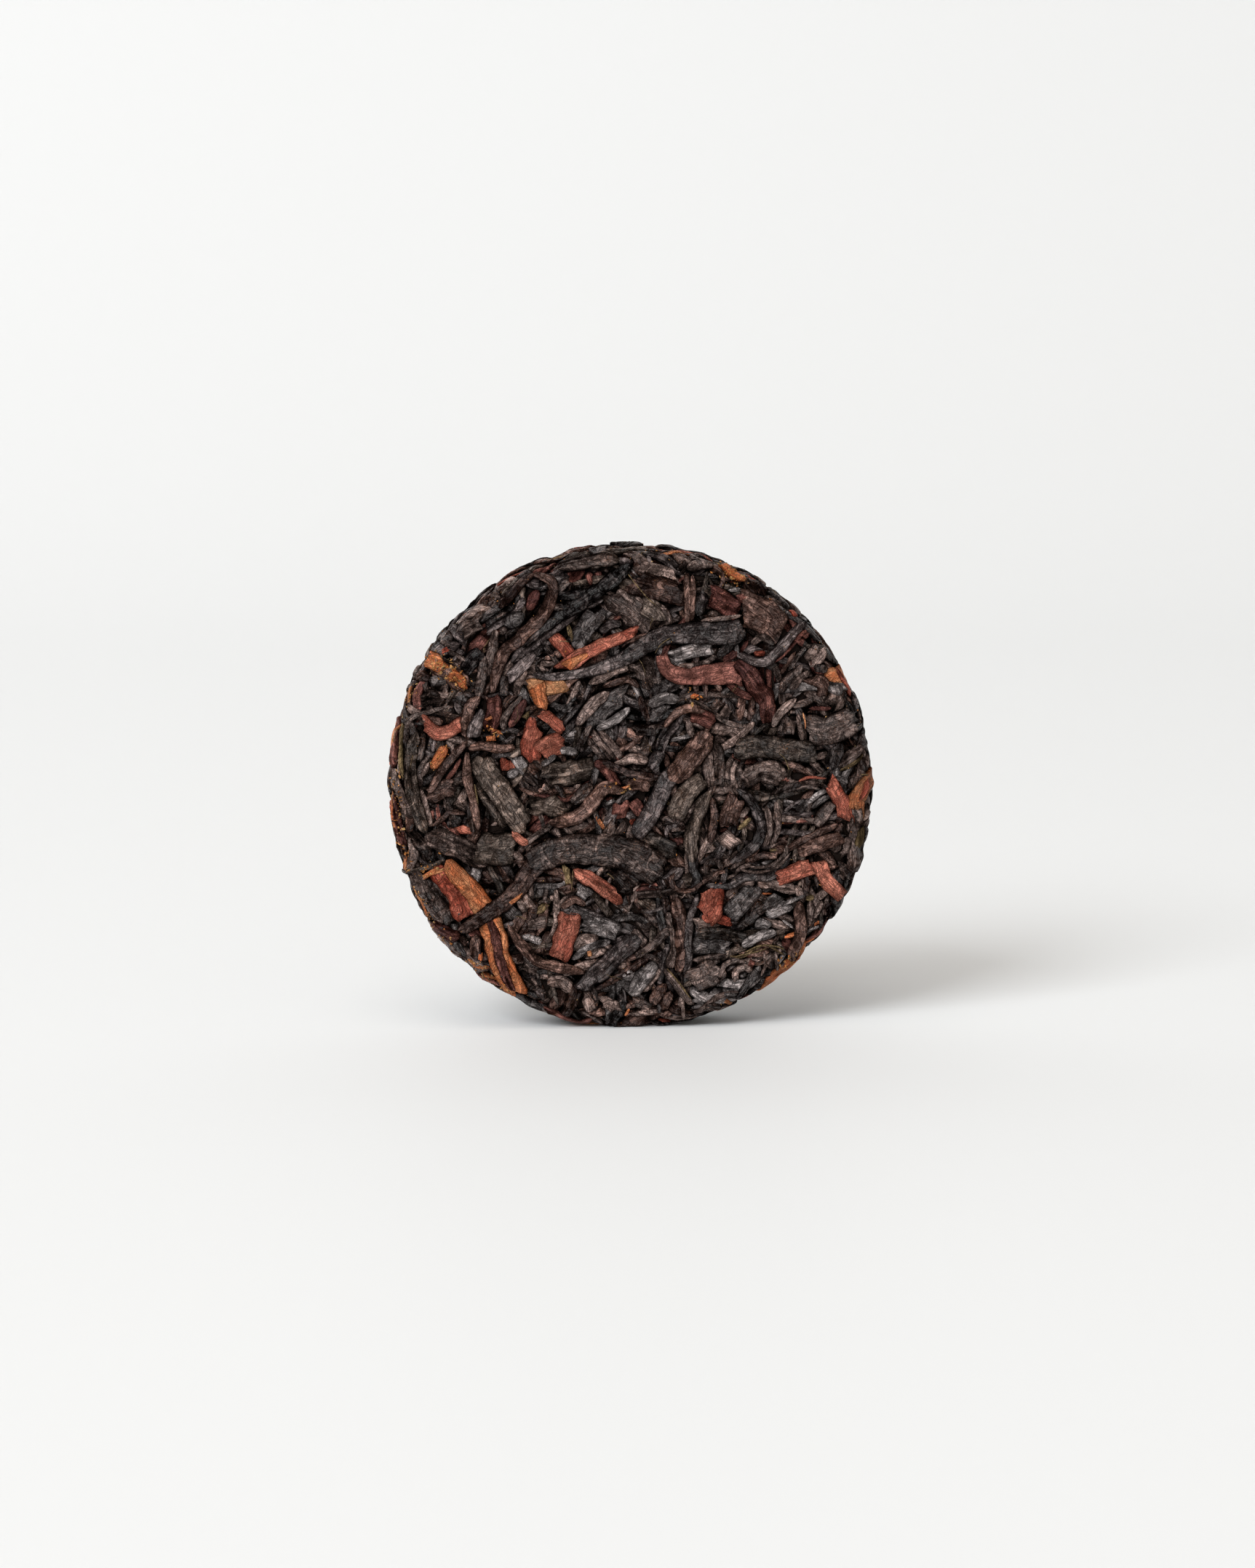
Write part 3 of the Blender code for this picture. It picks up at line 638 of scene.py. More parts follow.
# %% Top and upper right leaves
LEAVES += [
    ("dark", "crumpled", 2.8, (-2.2, 21.6), (0.0, 20.0), (2.6, 17.7)),
    ("olive", "smooth", 2.0, (1.4, 20.7), (3.0, 19.5), (3.6, 18.6)),
    ("dark", "rolled", 0.6, (3.5, 20.5), (4.3, 19.2), (4.7, 18.0)),
    ("brown", "rolled", 0.8, (6.4, 24.1), (6.5, 22.0), (6.6, 20.0), (6.5, 18.3)),
    ("brown", "rolled", 0.6, (7.1, 23.9), (7.2, 21.0), (7.0, 18.5)),
    ("black", "grooved", 1.1, (8.2, 21.9), (8.1, 20.5), (7.8, 19.3)),
    ("maroon", "flat", 2.2, (9.2, 21.6), (11.0, 20.5), (12.4, 19.7)),
    ("dark", "flat", 1.4, (0.9, 24.9), (3.0, 24.4), (5.4, 23.5)),
    ("brown", "flat", 2.4, (0.4, 23.1), (3.0, 22.3), (5.9, 21.6)),
    ("straw", "thread", 0.16, (-0.2, 23.9), (0.8, 22.6), (2.0, 21.2), (3.0, 20.4)),
    ("dark", "crumpled", 0.9, (5.4, 24.1), (6.7, 25.4)),
    ("dark", "rolled", 1.1, (6.5, 24.5), (8.0, 25.2), (9.5, 25.0)),
    ("red", "grooved", 0.7, (3.3, 27.4), (7.0, 26.7), (9.6, 25.9)),
    ("orange", "crumpled", 0.6, (3.6, 26.3), (5.0, 26.5), (6.6, 26.3)),
    ("slate", "flat", 2.0, (-6.6, 15.6), (-5.5, 17.2), (-4.2, 18.9), (-3.6, 19.6)),
    ("straw", "flat", 0.5, (-6.9, 17.7), (-6.7, 16.9)),
    ("black", "rolled", 0.9, (-3.5, 17.2), (-2.2, 18.2), (-0.9, 18.2)),
    ("dark", "rolled", 1.0, (-4.6, 11.4), (-3.0, 12.3), (-1.5, 13.0), (0.1, 13.4)),
    ("brown", "rolled", 0.8, (-3.1, 11.1), (-0.5, 11.9), (1.1, 11.1)),
    ("dark", "crumpled", 2.3, (0.2, 14.3), (1.8, 13.2), (2.8, 10.8)),
    ("slate", "grooved", 1.6, (2.6, 10.0), (4.0, 11.0), (5.5, 11.7)),
    ("slate", "flat", 1.3, (4.7, 14.5), (7.0, 15.2), (9.4, 15.5)),
    ("dark", "rolled", 0.7, (5.4, 13.5), (8.0, 13.6), (9.9, 14.7)),
    ("dark", "rolled", 0.6, (3.0, 14.7), (3.1, 13.0), (3.4, 11.4)),
    ("maroon", "flat", (1.3, 2.4), (3.5, 14.9), (4.0, 13.4), (5.6, 12.4), (8.5, 12.4), (11.5, 12.8),
     (13.5, 12.5)),
    ("red", "flat", 1.3, (-8.5, 16.7), (-7.5, 15.6), (-6.7, 14.5)),
    ("red", "flat", (1.6, 1.1), (-7.6, 13.2), (-5.2, 14.8), (-2.4, 16.2), (0.8, 17.4)),
    ("orange", "flat", (1.2, 0.3), (-7.4, 13.4), (-6.0, 14.2), (-4.4, 15.0)),
    ("brown", "rolled", 0.8, (-1.0, 15.4), (0.5, 16.3), (2.4, 17.1)),
    ("orange", "flat", (2.2, 1.2), (-11.2, 10.9), (-9.3, 11.1), (-7.2, 11.3)),
    ("dark", "rolled", 0.6, (7.5, 18.1), (9.2, 18.7), (12.7, 19.2)),
    ("slate", "rolled", 0.6, (11.2, 22.1), (12.7, 22.3)),
    ("orange", "crumpled", (1.6, 1.1), (10.5, 25.1), (11.6, 24.2), (13.0, 23.3)),
    ("red", "crumpled", 0.6, (13.3, 24.2), (14.3, 23.3)),
    ("slate", "rolled", 1.2, (15.5, 22.4), (17.0, 21.5), (18.4, 20.2)),
    ("orange", "flat", 0.5, (15.7, 21.2), (16.6, 21.0)),
    ("red", "rolled", 0.9, (18.3, 20.1), (18.9, 19.1)),
    ("maroon", "rolled", 1.2, (12.1, 21.4), (14.0, 20.9), (15.6, 20.9)),
    ("brown", "rolled", 0.5, (12.8, 19.3), (13.5, 20.2), (14.4, 21.1)),
    ("brown", "flat", 3.4, (12.9, 20.3), (15.5, 19.0), (17.1, 17.4)),
    ("dark", "crumpled", 1.8, (20.4, 13.9), (21.6, 15.6)),
    ("dark", "rolled", 0.9, (20.7, 13.2), (22.6, 13.2)),
    ("brown", "flat", 1.4, (20.4, 12.1), (21.8, 11.5), (22.0, 9.9)),
    ("slate", "rolled", 1.2, (22.4, 11.3), (24.2, 10.4)),
    ("red", "grooved", 0.9, (23.6, 13.3), (24.4, 12.0), (25.2, 10.4)),
    ("maroon", "rolled", 1.0, (10.6, 14.1), (12.1, 15.1)),
    ("slate", "rolled", 1.1, (9.9, 14.6), (11.2, 15.8), (12.5, 17.0), (13.2, 17.6)),
    ("red", "crumpled", 0.6, (13.9, 14.9), (15.5, 14.9)),
    ("dark", "rolled", 0.8, (13.7, 15.9), (15.0, 16.8), (16.4, 15.9)),
    ("maroon", "grooved", 1.8, (11.9, 14.1), (13.5, 12.5), (14.5, 11.0), (15.5, 9.5), (15.6, 6.8)),
    ("maroon", "rolled", 0.6, (16.4, 13.9), (17.9, 15.4), (19.3, 17.1), (20.1, 17.6)),
    ("dark", "rolled", 0.6, (17.9, 12.9), (19.0, 14.5), (20.1, 15.8)),
    ("brown", "rolled", 0.5, (17.1, 12.5), (18.0, 14.0), (18.8, 15.1)),
    ("dark", "rolled", 0.9, (19.6, 13.6), (17.8, 11.8), (17.0, 10.4)),
    ("dark", "rolled", 0.8, (18.1, 10.7), (19.2, 12.0), (20.5, 12.9)),
    ("black", "smooth", (0.6, 1.6), (-10.9, 12.4), (-8.5, 12.3), (-4.5, 12.9), (-1.0, 14.2), (1.8, 15.7)),
    ("black", "smooth", (1.6, 2.4), (-0.6, 14.5), (1.8, 15.9), (4.0, 16.9), (7.0, 17.2), (10.0, 17.2),
     (12.5, 17.6)),
    ("black", "rolled", 1.0, (12.0, 14.9), (13.5, 14.3), (15.0, 13.9), (16.3, 14.6), (18.6, 17.3),
     (20.0, 18.5)),
]
print("leaves so far:", len(LEAVES))

# %% Middle left leaves
LEAVES += [
    ("maroon", "crumpled", 1.6, (-26.6, 8.0), (-26.9, 5.0), (-27.1, 2.0)),
    ("orange", "crumpled", 0.6, (-26.4, 7.0), (-26.8, 6.2)),
    ("maroon", "grooved", 1.5, (-27.2, -1.0), (-26.8, -3.0), (-25.8, -7.1)),
    ("orange", "grooved", 0.5, (-27.3, -0.4), (-27.1, -2.6), (-26.6, -5.0)),
    ("orange", "crumpled", 0.7, (-25.8, -8.0), (-25.5, -9.8)),
    ("dark", "rolled", 0.9, (-23.3, 6.1), (-23.7, 4.0), (-24.0, 2.4)),
    ("dark", "rolled", 0.6, (-22.8, 2.6), (-23.6, 0.9)),
    ("dark", "rolled", 0.8, (-23.7, -0.4), (-23.2, -2.5), (-22.5, -4.9)),
    ("dark", "rolled", 0.7, (-25.3, 7.1), (-25.5, 5.3), (-25.3, 3.4)),
    ("olive", "grooved", 1.4, (-24.1, 5.9), (-24.8, 3.8), (-24.8, 0.8), (-24.3, -2.4), (-23.1, -5.6)),
    ("brown", "rolled", 0.9, (-23.6, 7.5), (-22.3, 7.3), (-21.1, 7.0)),
    ("red", "flat", 1.4, (-23.5, 7.2), (-21.8, 5.9), (-20.3, 6.2), (-18.8, 7.3)),
    ("brown", "grooved", 1.3, (-17.2, 10.1), (-18.2, 8.5), (-18.4, 7.0), (-18.5, 5.2)),
    ("black", "grooved", 1.3, (-16.4, 8.4), (-17.3, 7.0), (-18.0, 5.2)),
    ("maroon", "grooved", 1.6, (-15.2, 10.1), (-15.5, 8.0), (-15.8, 5.9)),
    ("orange", "flat", 0.35, (-16.5, 7.3), (-15.5, 7.8)),
    ("orange", "flat", 0.4, (-15.7, 6.3), (-14.5, 5.9)),
    ("orange", "flat", 0.6, (-16.6, 5.2), (-14.9, 5.3)),
    ("dark", "rolled", 0.8, (-14.2, 6.1), (-14.3, 7.5), (-13.0, 9.0), (-12.2, 10.1)),
    ("maroon", "rolled", 1.0, (-13.6, 6.5), (-12.8, 8.0), (-11.9, 9.7)),
    ("straw", "flat", 0.7, (-12.1, 7.4), (-11.2, 8.1)),
    ("brown", "rolled", 0.7, (-12.9, 5.5), (-11.9, 6.2), (-11.3, 7.3), (-10.0, 8.6), (-9.2, 9.3)),
    ("orange", "flat", (1.9, 1.0), (-10.5, 11.2), (-10.2, 10.0), (-9.7, 8.7)),
    ("red", "flat", 1.9, (-11.2, 2.9), (-11.3, 4.4), (-10.7, 6.9)),
    ("red", "flat", 1.2, (-10.1, 8.3), (-8.9, 7.4), (-7.5, 6.3)),
    ("red", "flat", 2.3, (-10.2, 3.7), (-9.0, 4.4), (-7.7, 4.9)),
    ("brown", "rolled", 1.0, (-18.4, 4.2), (-16.5, 4.4), (-14.8, 4.1), (-12.9, 4.4)),
    ("slate", "flat", 0.4, (-15.1, 3.2), (-13.2, 3.5)),
    ("red", "flat", 1.4, (-13.9, 3.0), (-13.7, 1.4)),
    ("slate", "flat", 1.2, (-13.0, 3.1), (-11.9, 1.7)),
    ("slate", "rolled", 0.9, (-13.9, 0.9), (-12.6, 1.7)),
    ("olive", "grooved", 1.6, (-17.2, 0.6), (-15.5, -2.0), (-13.7, -4.8)),
    ("olive", "smooth", 2.4, (-17.0, 3.1), (-16.2, 1.3), (-14.5, -1.0), (-13.2, -3.0), (-11.9, -4.9)),
    ("brown", "rolled", 1.0, (-18.5, 3.8), (-18.4, 1.0), (-17.8, -1.5), (-17.2, -5.1)),
    ("straw", "thread", 0.2, (-17.6, 0.1), (-17.4, -1.1), (-17.2, -2.2)),
    ("brown", "flat", 1.8, (-22.8, -1.4), (-21.0, -0.4), (-19.9, -0.5)),
    ("brown", "rolled", 0.6, (-22.4, -4.7), (-21.2, -3.8), (-20.3, -3.1), (-18.5, -3.3)),
    ("slate", "rolled", 0.9, (-20.4, -4.4), (-19.1, -4.2)),
    ("red", "crumpled", 0.9, (-19.3, -4.8), (-18.2, -5.3)),
    ("straw", "crumpled", 0.5, (-21.2, -5.2), (-20.6, -5.4)),
    ("orange", "grooved", 1.0, (-22.5, 1.7), (-21.6, 3.2), (-20.9, 4.5)),
    ("maroon", "rolled", 0.5, (-19.1, 3.1), (-20.0, 1.5), (-20.9, 0.5)),
    ("brown", "rolled", 0.9, (-18.4, 5.0), (-20.0, 3.3), (-21.2, 1.8), (-22.2, 0.2), (-22.8, -1.0)),
    ("dark", "crumpled", 1.3, (-24.8, -5.4), (-23.5, -7.0), (-22.9, -8.5)),
    ("dark", "grooved", 2.3, (-23.1, -5.8), (-21.0, -6.5), (-18.5, -7.5), (-16.3, -9.1)),
    ("olive", "smooth", 3.1, (-17.5, -7.2), (-15.2, -7.3), (-12.9, -7.1)),
    ("red", "rolled", 0.9, (-13.3, -5.3), (-12.4, -6.2), (-11.6, -6.7)),
    ("dark", "rolled", 0.8, (-13.1, -7.7), (-12.1, -8.5)),
]
print("leaves so far:", len(LEAVES))

# %% Leaves of the middle
LEAVES += [
    ("dark", "crumpled", 1.2, (0.4, 6.3), (3.6, 6.3)),
    ("brown", "rolled", 0.7, (1.1, 10.1), (1.6, 8.5), (2.2, 7.1)),
    ("slate", "flat", 1.0, (2.4, 7.9), (4.1, 9.0)),
    ("slate", "rolled", 1.2, (2.1, 9.1), (4.0, 9.8), (5.6, 9.7)),
    ("slate", "flat", 2.0, (-4.0, 6.3), (-3.6, 8.0), (-2.5, 9.2), (-0.4, 10.3)),
    ("slate", "rolled", 0.9, (-3.9, 6.3), (-2.0, 7.2), (0.1, 8.8)),
    ("dark", "rolled", 1.2, (-6.0, 6.7), (-4.8, 8.5), (-3.5, 9.8), (-2.4, 10.6)),
    ("dark", "rolled", 0.8, (-6.1, 3.9), (-5.2, 5.5), (-4.4, 6.9)),
    ("slate", "rolled", 0.9, (-8.0, 4.0), (-5.9, 3.7)),
    ("slate", "rolled", 0.7, (-10.1, 2.2), (-8.3, 3.4)),
    ("olive", "crumpled", 2.4, (-9.7, 0.9), (-7.0, 1.3), (-4.1, 2.1)),
    ("maroon", "rolled", 0.45, (-10.9, -1.1), (-8.5, -1.4), (-7.0, -1.6), (-4.7, 0.4)),
    ("dark", "rolled", 1.3, (-6.6, -2.1), (-5.3, -1.0), (-4.4, 0.1)),
    ("olive", "crumpled", 1.9, (-11.9, -2.4), (-9.3, -2.4), (-7.2, -3.1)),
    ("maroon", "crumpled", 1.6, (-1.0, -1.9), (-1.0, -3.5)),
    ("red", "crumpled", 0.8, (0.1, -4.1), (0.9, -4.5)),
    ("orange", "crumpled", 0.5, (-3.6, -3.9), (-3.0, -4.8)),
    ("maroon", "grooved", 1.3, (0.1, -1.6), (1.0, -2.7), (1.9, -3.6)),
    ("brown", "rolled", 0.7, (1.9, -1.3), (2.5, -2.6)),
    ("brown", "grooved", 1.3, (-0.3, -0.1), (1.2, 0.1), (2.1, -0.6)),
    ("maroon", "rolled", 1.2, (-4.1, 2.7), (-2.7, 1.8), (-1.8, 0.5), (-1.1, -0.3)),
    ("brown", "rolled", 0.9, (-3.1, 2.8), (-1.5, 1.9), (0.0, 1.3), (1.8, 1.0), (3.9, 0.6)),
    ("orange", "thread", 0.3, (-1.7, -0.1), (-0.9, -0.4), (0.1, 0.0)),
    ("olive", "smooth", 1.8, (1.3, -5.9), (3.5, -6.8), (5.1, -7.6)),
    ("olive", "smooth", 2.0, (5.0, -3.8), (5.8, -2.0), (6.8, -0.5), (8.1, 0.9)),
    ("straw", "crumpled", 0.6, (3.9, -1.7), (4.5, -2.1)),
    ("black", "smooth", 1.8, (0.7, -5.6), (2.5, -3.0), (3.5, -1.0), (4.3, 0.6), (6.9, 3.1)),
    ("brown", "grooved", 2.4, (4.7, 0.4), (6.5, 2.5), (7.8, 4.2), (8.9, 6.1)),
    ("olive", "grooved", 1.5, (7.0, -8.6), (7.0, -6.5), (7.3, -4.5), (8.0, -2.8), (8.9, -0.9)),
    ("maroon", "grooved", 1.6, (6.7, 8.0), (8.5, 7.5), (9.6, 7.0)),
    ("brown", "rolled", 0.9, (3.9, 6.6), (5.0, 7.9), (6.5, 8.7), (8.4, 8.4)),
    ("orange", "crumpled", 0.5, (7.0, 10.0), (7.6, 10.2)),
    ("brown", "rolled", 1.5, (-9.2, -4.3), (-7.0, -4.0), (-5.0, -2.9), (-4.0, -1.5), (-2.5, -0.3),
     (-0.7, -0.8)),
]
print("leaves so far:", len(LEAVES))

# %% Right leaves
LEAVES += [
    ("dark", "crumpled", 2.4, (12.9, 0.7), (15.2, 1.6), (17.4, 0.7)),
    ("dark", "rolled", 0.7, (18.3, 8.9), (19.8, 9.3), (21.1, 9.9)),
    ("dark", "crumpled", 1.4, (18.0, 5.5), (18.3, 7.7)),
    ("dark", "rolled", 0.6, (19.0, 8.1), (19.3, 6.5), (19.6, 4.9)),
    ("orange", "thread", 0.22, (19.6, 8.2), (19.8, 7.3), (19.9, 6.4)),
    ("maroon", "rolled", 0.5, (20.4, 8.6), (22.9, 8.7)),
    ("dark", "crumpled", 1.9, (23.0, 8.7), (23.6, 10.4)),
    ("dark", "rolled", 0.9, (23.9, 5.4), (25.5, 6.2), (26.4, 7.1)),
    ("dark", "rolled", 1.2, (23.4, 2.1), (25.0, 3.2), (26.5, 4.6)),
    ("slate", "crumpled", 1.3, (22.9, 2.1), (23.6, 4.5)),
    ("straw", "rolled", 0.45, (23.7, 1.6), (25.5, 2.5), (26.9, 3.7)),
    ("slate", "rolled", 0.7, (23.4, 1.0), (24.7, 0.2)),
    ("straw", "thread", 0.2, (26.2, 1.2), (27.1, 1.2)),
    ("red", "grooved", 0.7, (26.1, -1.6), (26.7, -0.5), (27.0, 0.6)),
    ("dark", "smooth", 2.8, (19.9, 6.4), (22.5, 6.2), (25.6, 7.7)),
    ("dark", "rolled", 0.9, (18.9, 9.8), (17.6, 8.7), (16.8, 7.8), (16.2, 6.5)),
    ("olive", "smooth", 2.2, (11.9, 4.0), (14.5, 4.4), (18.0, 4.0), (21.1, 3.7)),
    ("dark", "rolled", 0.5, (17.4, -0.8), (19.8, -0.2), (21.6, -0.5)),
    ("dark", "rolled", 0.6, (15.9, -1.1), (18.0, -0.1), (20.0, 0.3), (21.8, 0.0), (22.9, -1.1)),
    ("red", "rolled", 0.35, (19.0, 0.4), (20.4, 0.9), (22.4, 0.7)),
    ("red", "flat", 1.6, (22.7, 0.4), (23.5, -1.0), (24.2, -2.5), (24.6, -3.8)),
    ("slate", "crumpled", 0.8, (18.9, -3.1), (20.1, -1.7)),
    ("brown", "flat", 2.0, (11.1, -4.5), (11.6, -2.8), (12.1, -1.4)),
    ("straw", "rolled", 0.5, (12.2, -5.1), (13.8, -3.7)),
    ("dark", "rolled", 0.7, (12.5, -3.6), (13.6, -2.6)),
    ("dark", "flat", 1.5, (10.4, -5.7), (12.1, -6.9)),
    ("dark", "rolled", 0.7, (16.5, -1.9), (16.8, -4.5), (16.3, -6.6)),
    ("dark", "rolled", 0.8, (15.5, -2.4), (15.8, -5.0), (15.3, -7.1)),
    ("brown", "rolled", 0.9, (9.2, -1.4), (9.6, -3.0), (9.5, -4.5), (9.0, -6.6)),
    ("dark", "rolled", 1.2, (20.9, -4.7), (22.0, -3.3), (23.1, -1.9)),
    ("brown", "rolled", 0.8, (17.4, -7.6), (19.5, -6.3), (21.5, -5.4), (23.6, -4.5)),
    ("brown", "grooved", 1.6, (18.8, -7.8), (21.5, -6.7), (24.4, -5.9)),
    ("straw", "crumpled", 1.0, (26.3, -5.0), (25.8, -7.0)),
    ("dark", "rolled", 0.6, (17.8, -6.8), (17.5, -8.2), (15.9, -9.5)),
    ("brown", "rolled", 0.8, (13.4, -8.7), (15.0, -8.0), (16.9, -8.2)),
    ("straw", "crumpled", 0.35, (15.7, -7.5), (16.8, -7.3)),
    ("orange", "thread", 0.2, (13.1, -0.6), (14.0, -1.5), (14.9, -2.7)),
    ("black", "rolled", 1.1, (12.2, -0.5), (13.4, -1.4), (14.4, -3.0), (14.9, -5.0), (14.2, -6.8),
     (12.5, -8.2), (11.4, -8.7)),
]
print("leaves so far:", len(LEAVES))

# %% Lower left leaves
LEAVES += [
    ("dark", "crumpled", 2.2, (-24.5, -9.9), (-23.6, -12.0), (-22.4, -14.0), (-21.3, -15.7)),
    ("dark", "crumpled", 2.1, (-22.7, -11.3), (-21.6, -12.8), (-20.6, -14.2), (-19.9, -15.7)),
    ("orange", "grooved", 0.5, (-25.0, -11.4), (-23.9, -13.3), (-22.9, -15.3)),
    ("maroon", "grooved", 1.6, (-22.5, -15.5), (-20.9, -16.8), (-19.3, -17.4)),
    ("slate", "crumpled", 0.9, (-19.9, -17.9), (-18.9, -19.4)),
    ("dark", "crumpled", 2.0, (-12.0, -20.0), (-10.3, -20.9)),
    ("maroon", "rolled", 0.7, (-18.5, -20.8), (-16.0, -22.2), (-14.5, -23.0)),
    ("slate", "flat", 1.5, (-14.2, -13.9), (-12.8, -15.1)),
    ("dark", "flat", 1.4, (-12.7, -12.3), (-11.4, -14.1)),
    ("dark", "crumpled", 1.2, (-11.7, -15.9), (-9.4, -15.4)),
    ("straw", "crumpled", 0.8, (-10.4, -14.2), (-9.5, -13.6)),
    ("slate", "crumpled", 0.8, (-12.1, -17.1), (-9.9, -17.8)),
    ("maroon", "flat", 1.0, (-18.0, -16.4), (-16.5, -17.8)),
    ("brown", "rolled", 1.0, (-16.3, -17.7), (-16.5, -20.1)),
    ("brown", "rolled", 1.2, (-17.4, -17.0), (-17.6, -19.8)),
    ("orange", "crumpled", 0.55, (-18.1, -19.9), (-17.3, -20.6), (-16.2, -20.8)),
    ("orange", "crumpled", 0.5, (-16.9, -19.0), (-17.0, -19.9)),
    ("red", "flat", (1.6, 2.4), (-22.2, -9.5), (-20.6, -11.2), (-19.5, -12.6), (-18.7, -15.0)),
    ("orange", "crumpled", 0.6, (-23.6, -10.6), (-22.4, -9.9), (-21.4, -9.6)),
    ("orange", "flat", (1.4, 2.2), (-20.9, -8.8), (-19.2, -10.7), (-17.7, -12.4), (-16.5, -14.2)),
    ("orange", "flat", 2.3, (-16.0, -15.0), (-15.3, -17.0), (-14.9, -19.0), (-14.3, -21.0), (-12.7, -23.8)),
    ("maroon", "grooved", (0.9, 1.1), (-16.1, -14.8), (-15.2, -17.4), (-14.9, -19.4), (-14.1, -21.6),
     (-13.2, -23.3)),
    ("brown", "rolled", 1.1, (-13.7, -15.9), (-12.8, -17.5), (-11.5, -19.0), (-10.0, -20.2), (-4.9, -21.3)),
    ("maroon", "grooved", 0.9, (-9.6, -25.2), (-7.5, -26.3), (-5.5, -26.9), (-4.4, -26.6)),
    ("dark", "crumpled", 1.3, (-9.3, -22.4), (-7.7, -22.3), (-6.6, -23.2)),
    ("dark", "crumpled", 1.2, (-4.8, -24.0), (-4.2, -25.8)),
    ("dark", "crumpled", 1.4, (-3.2, -24.4), (-1.4, -25.4)),
    ("orange", "rolled", 0.35, (0.0, -25.3), (-0.6, -26.4)),
    ("brown", "rolled", 0.7, (-10.8, -10.8), (-9.0, -10.7), (-7.5, -10.8)),
    ("straw", "flat", 0.7, (-7.3, -9.3), (-7.1, -10.3), (-6.9, -11.5)),
    ("brown", "flat", 1.0, (-7.8, -12.1), (-6.4, -11.5)),
    ("slate", "flat", 1.3, (-6.1, -11.7), (-4.5, -12.7)),
    ("brown", "rolled", 0.8, (-7.9, -14.1), (-6.3, -13.0), (-4.9, -13.7)),
    ("slate", "crumpled", 1.9, (-5.7, -15.6), (-3.5, -16.0), (-1.1, -16.9)),
    ("dark", "crumpled", 1.2, (-6.0, -18.6), (-5.2, -17.6), (-3.8, -17.4)),
    ("slate", "rolled", 0.9, (-6.6, -19.8), (-4.5, -18.4), (-2.2, -17.7)),
    ("dark", "rolled", 0.9, (-5.1, -19.6), (-2.7, -18.7)),
    ("orange", "crumpled", 0.45, (-4.7, -18.6), (-4.5, -19.6)),
    ("dark", "rolled", 0.75, (-8.4, -11.6), (-8.3, -14.0), (-8.5, -16.5), (-9.7, -18.1)),
    ("red", "flat", 2.2, (-6.8, -14.6), (-6.9, -16.2), (-7.4, -17.7), (-8.2, -19.6)),
    ("red", "grooved", 1.5, (-6.3, -9.8), (-4.2, -10.9), (-2.6, -12.0), (-1.0, -13.4)),
    ("dark", "crumpled", 2.4, (-1.6, -9.9), (0.6, -11.7)),
]
print("leaves so far:", len(LEAVES))

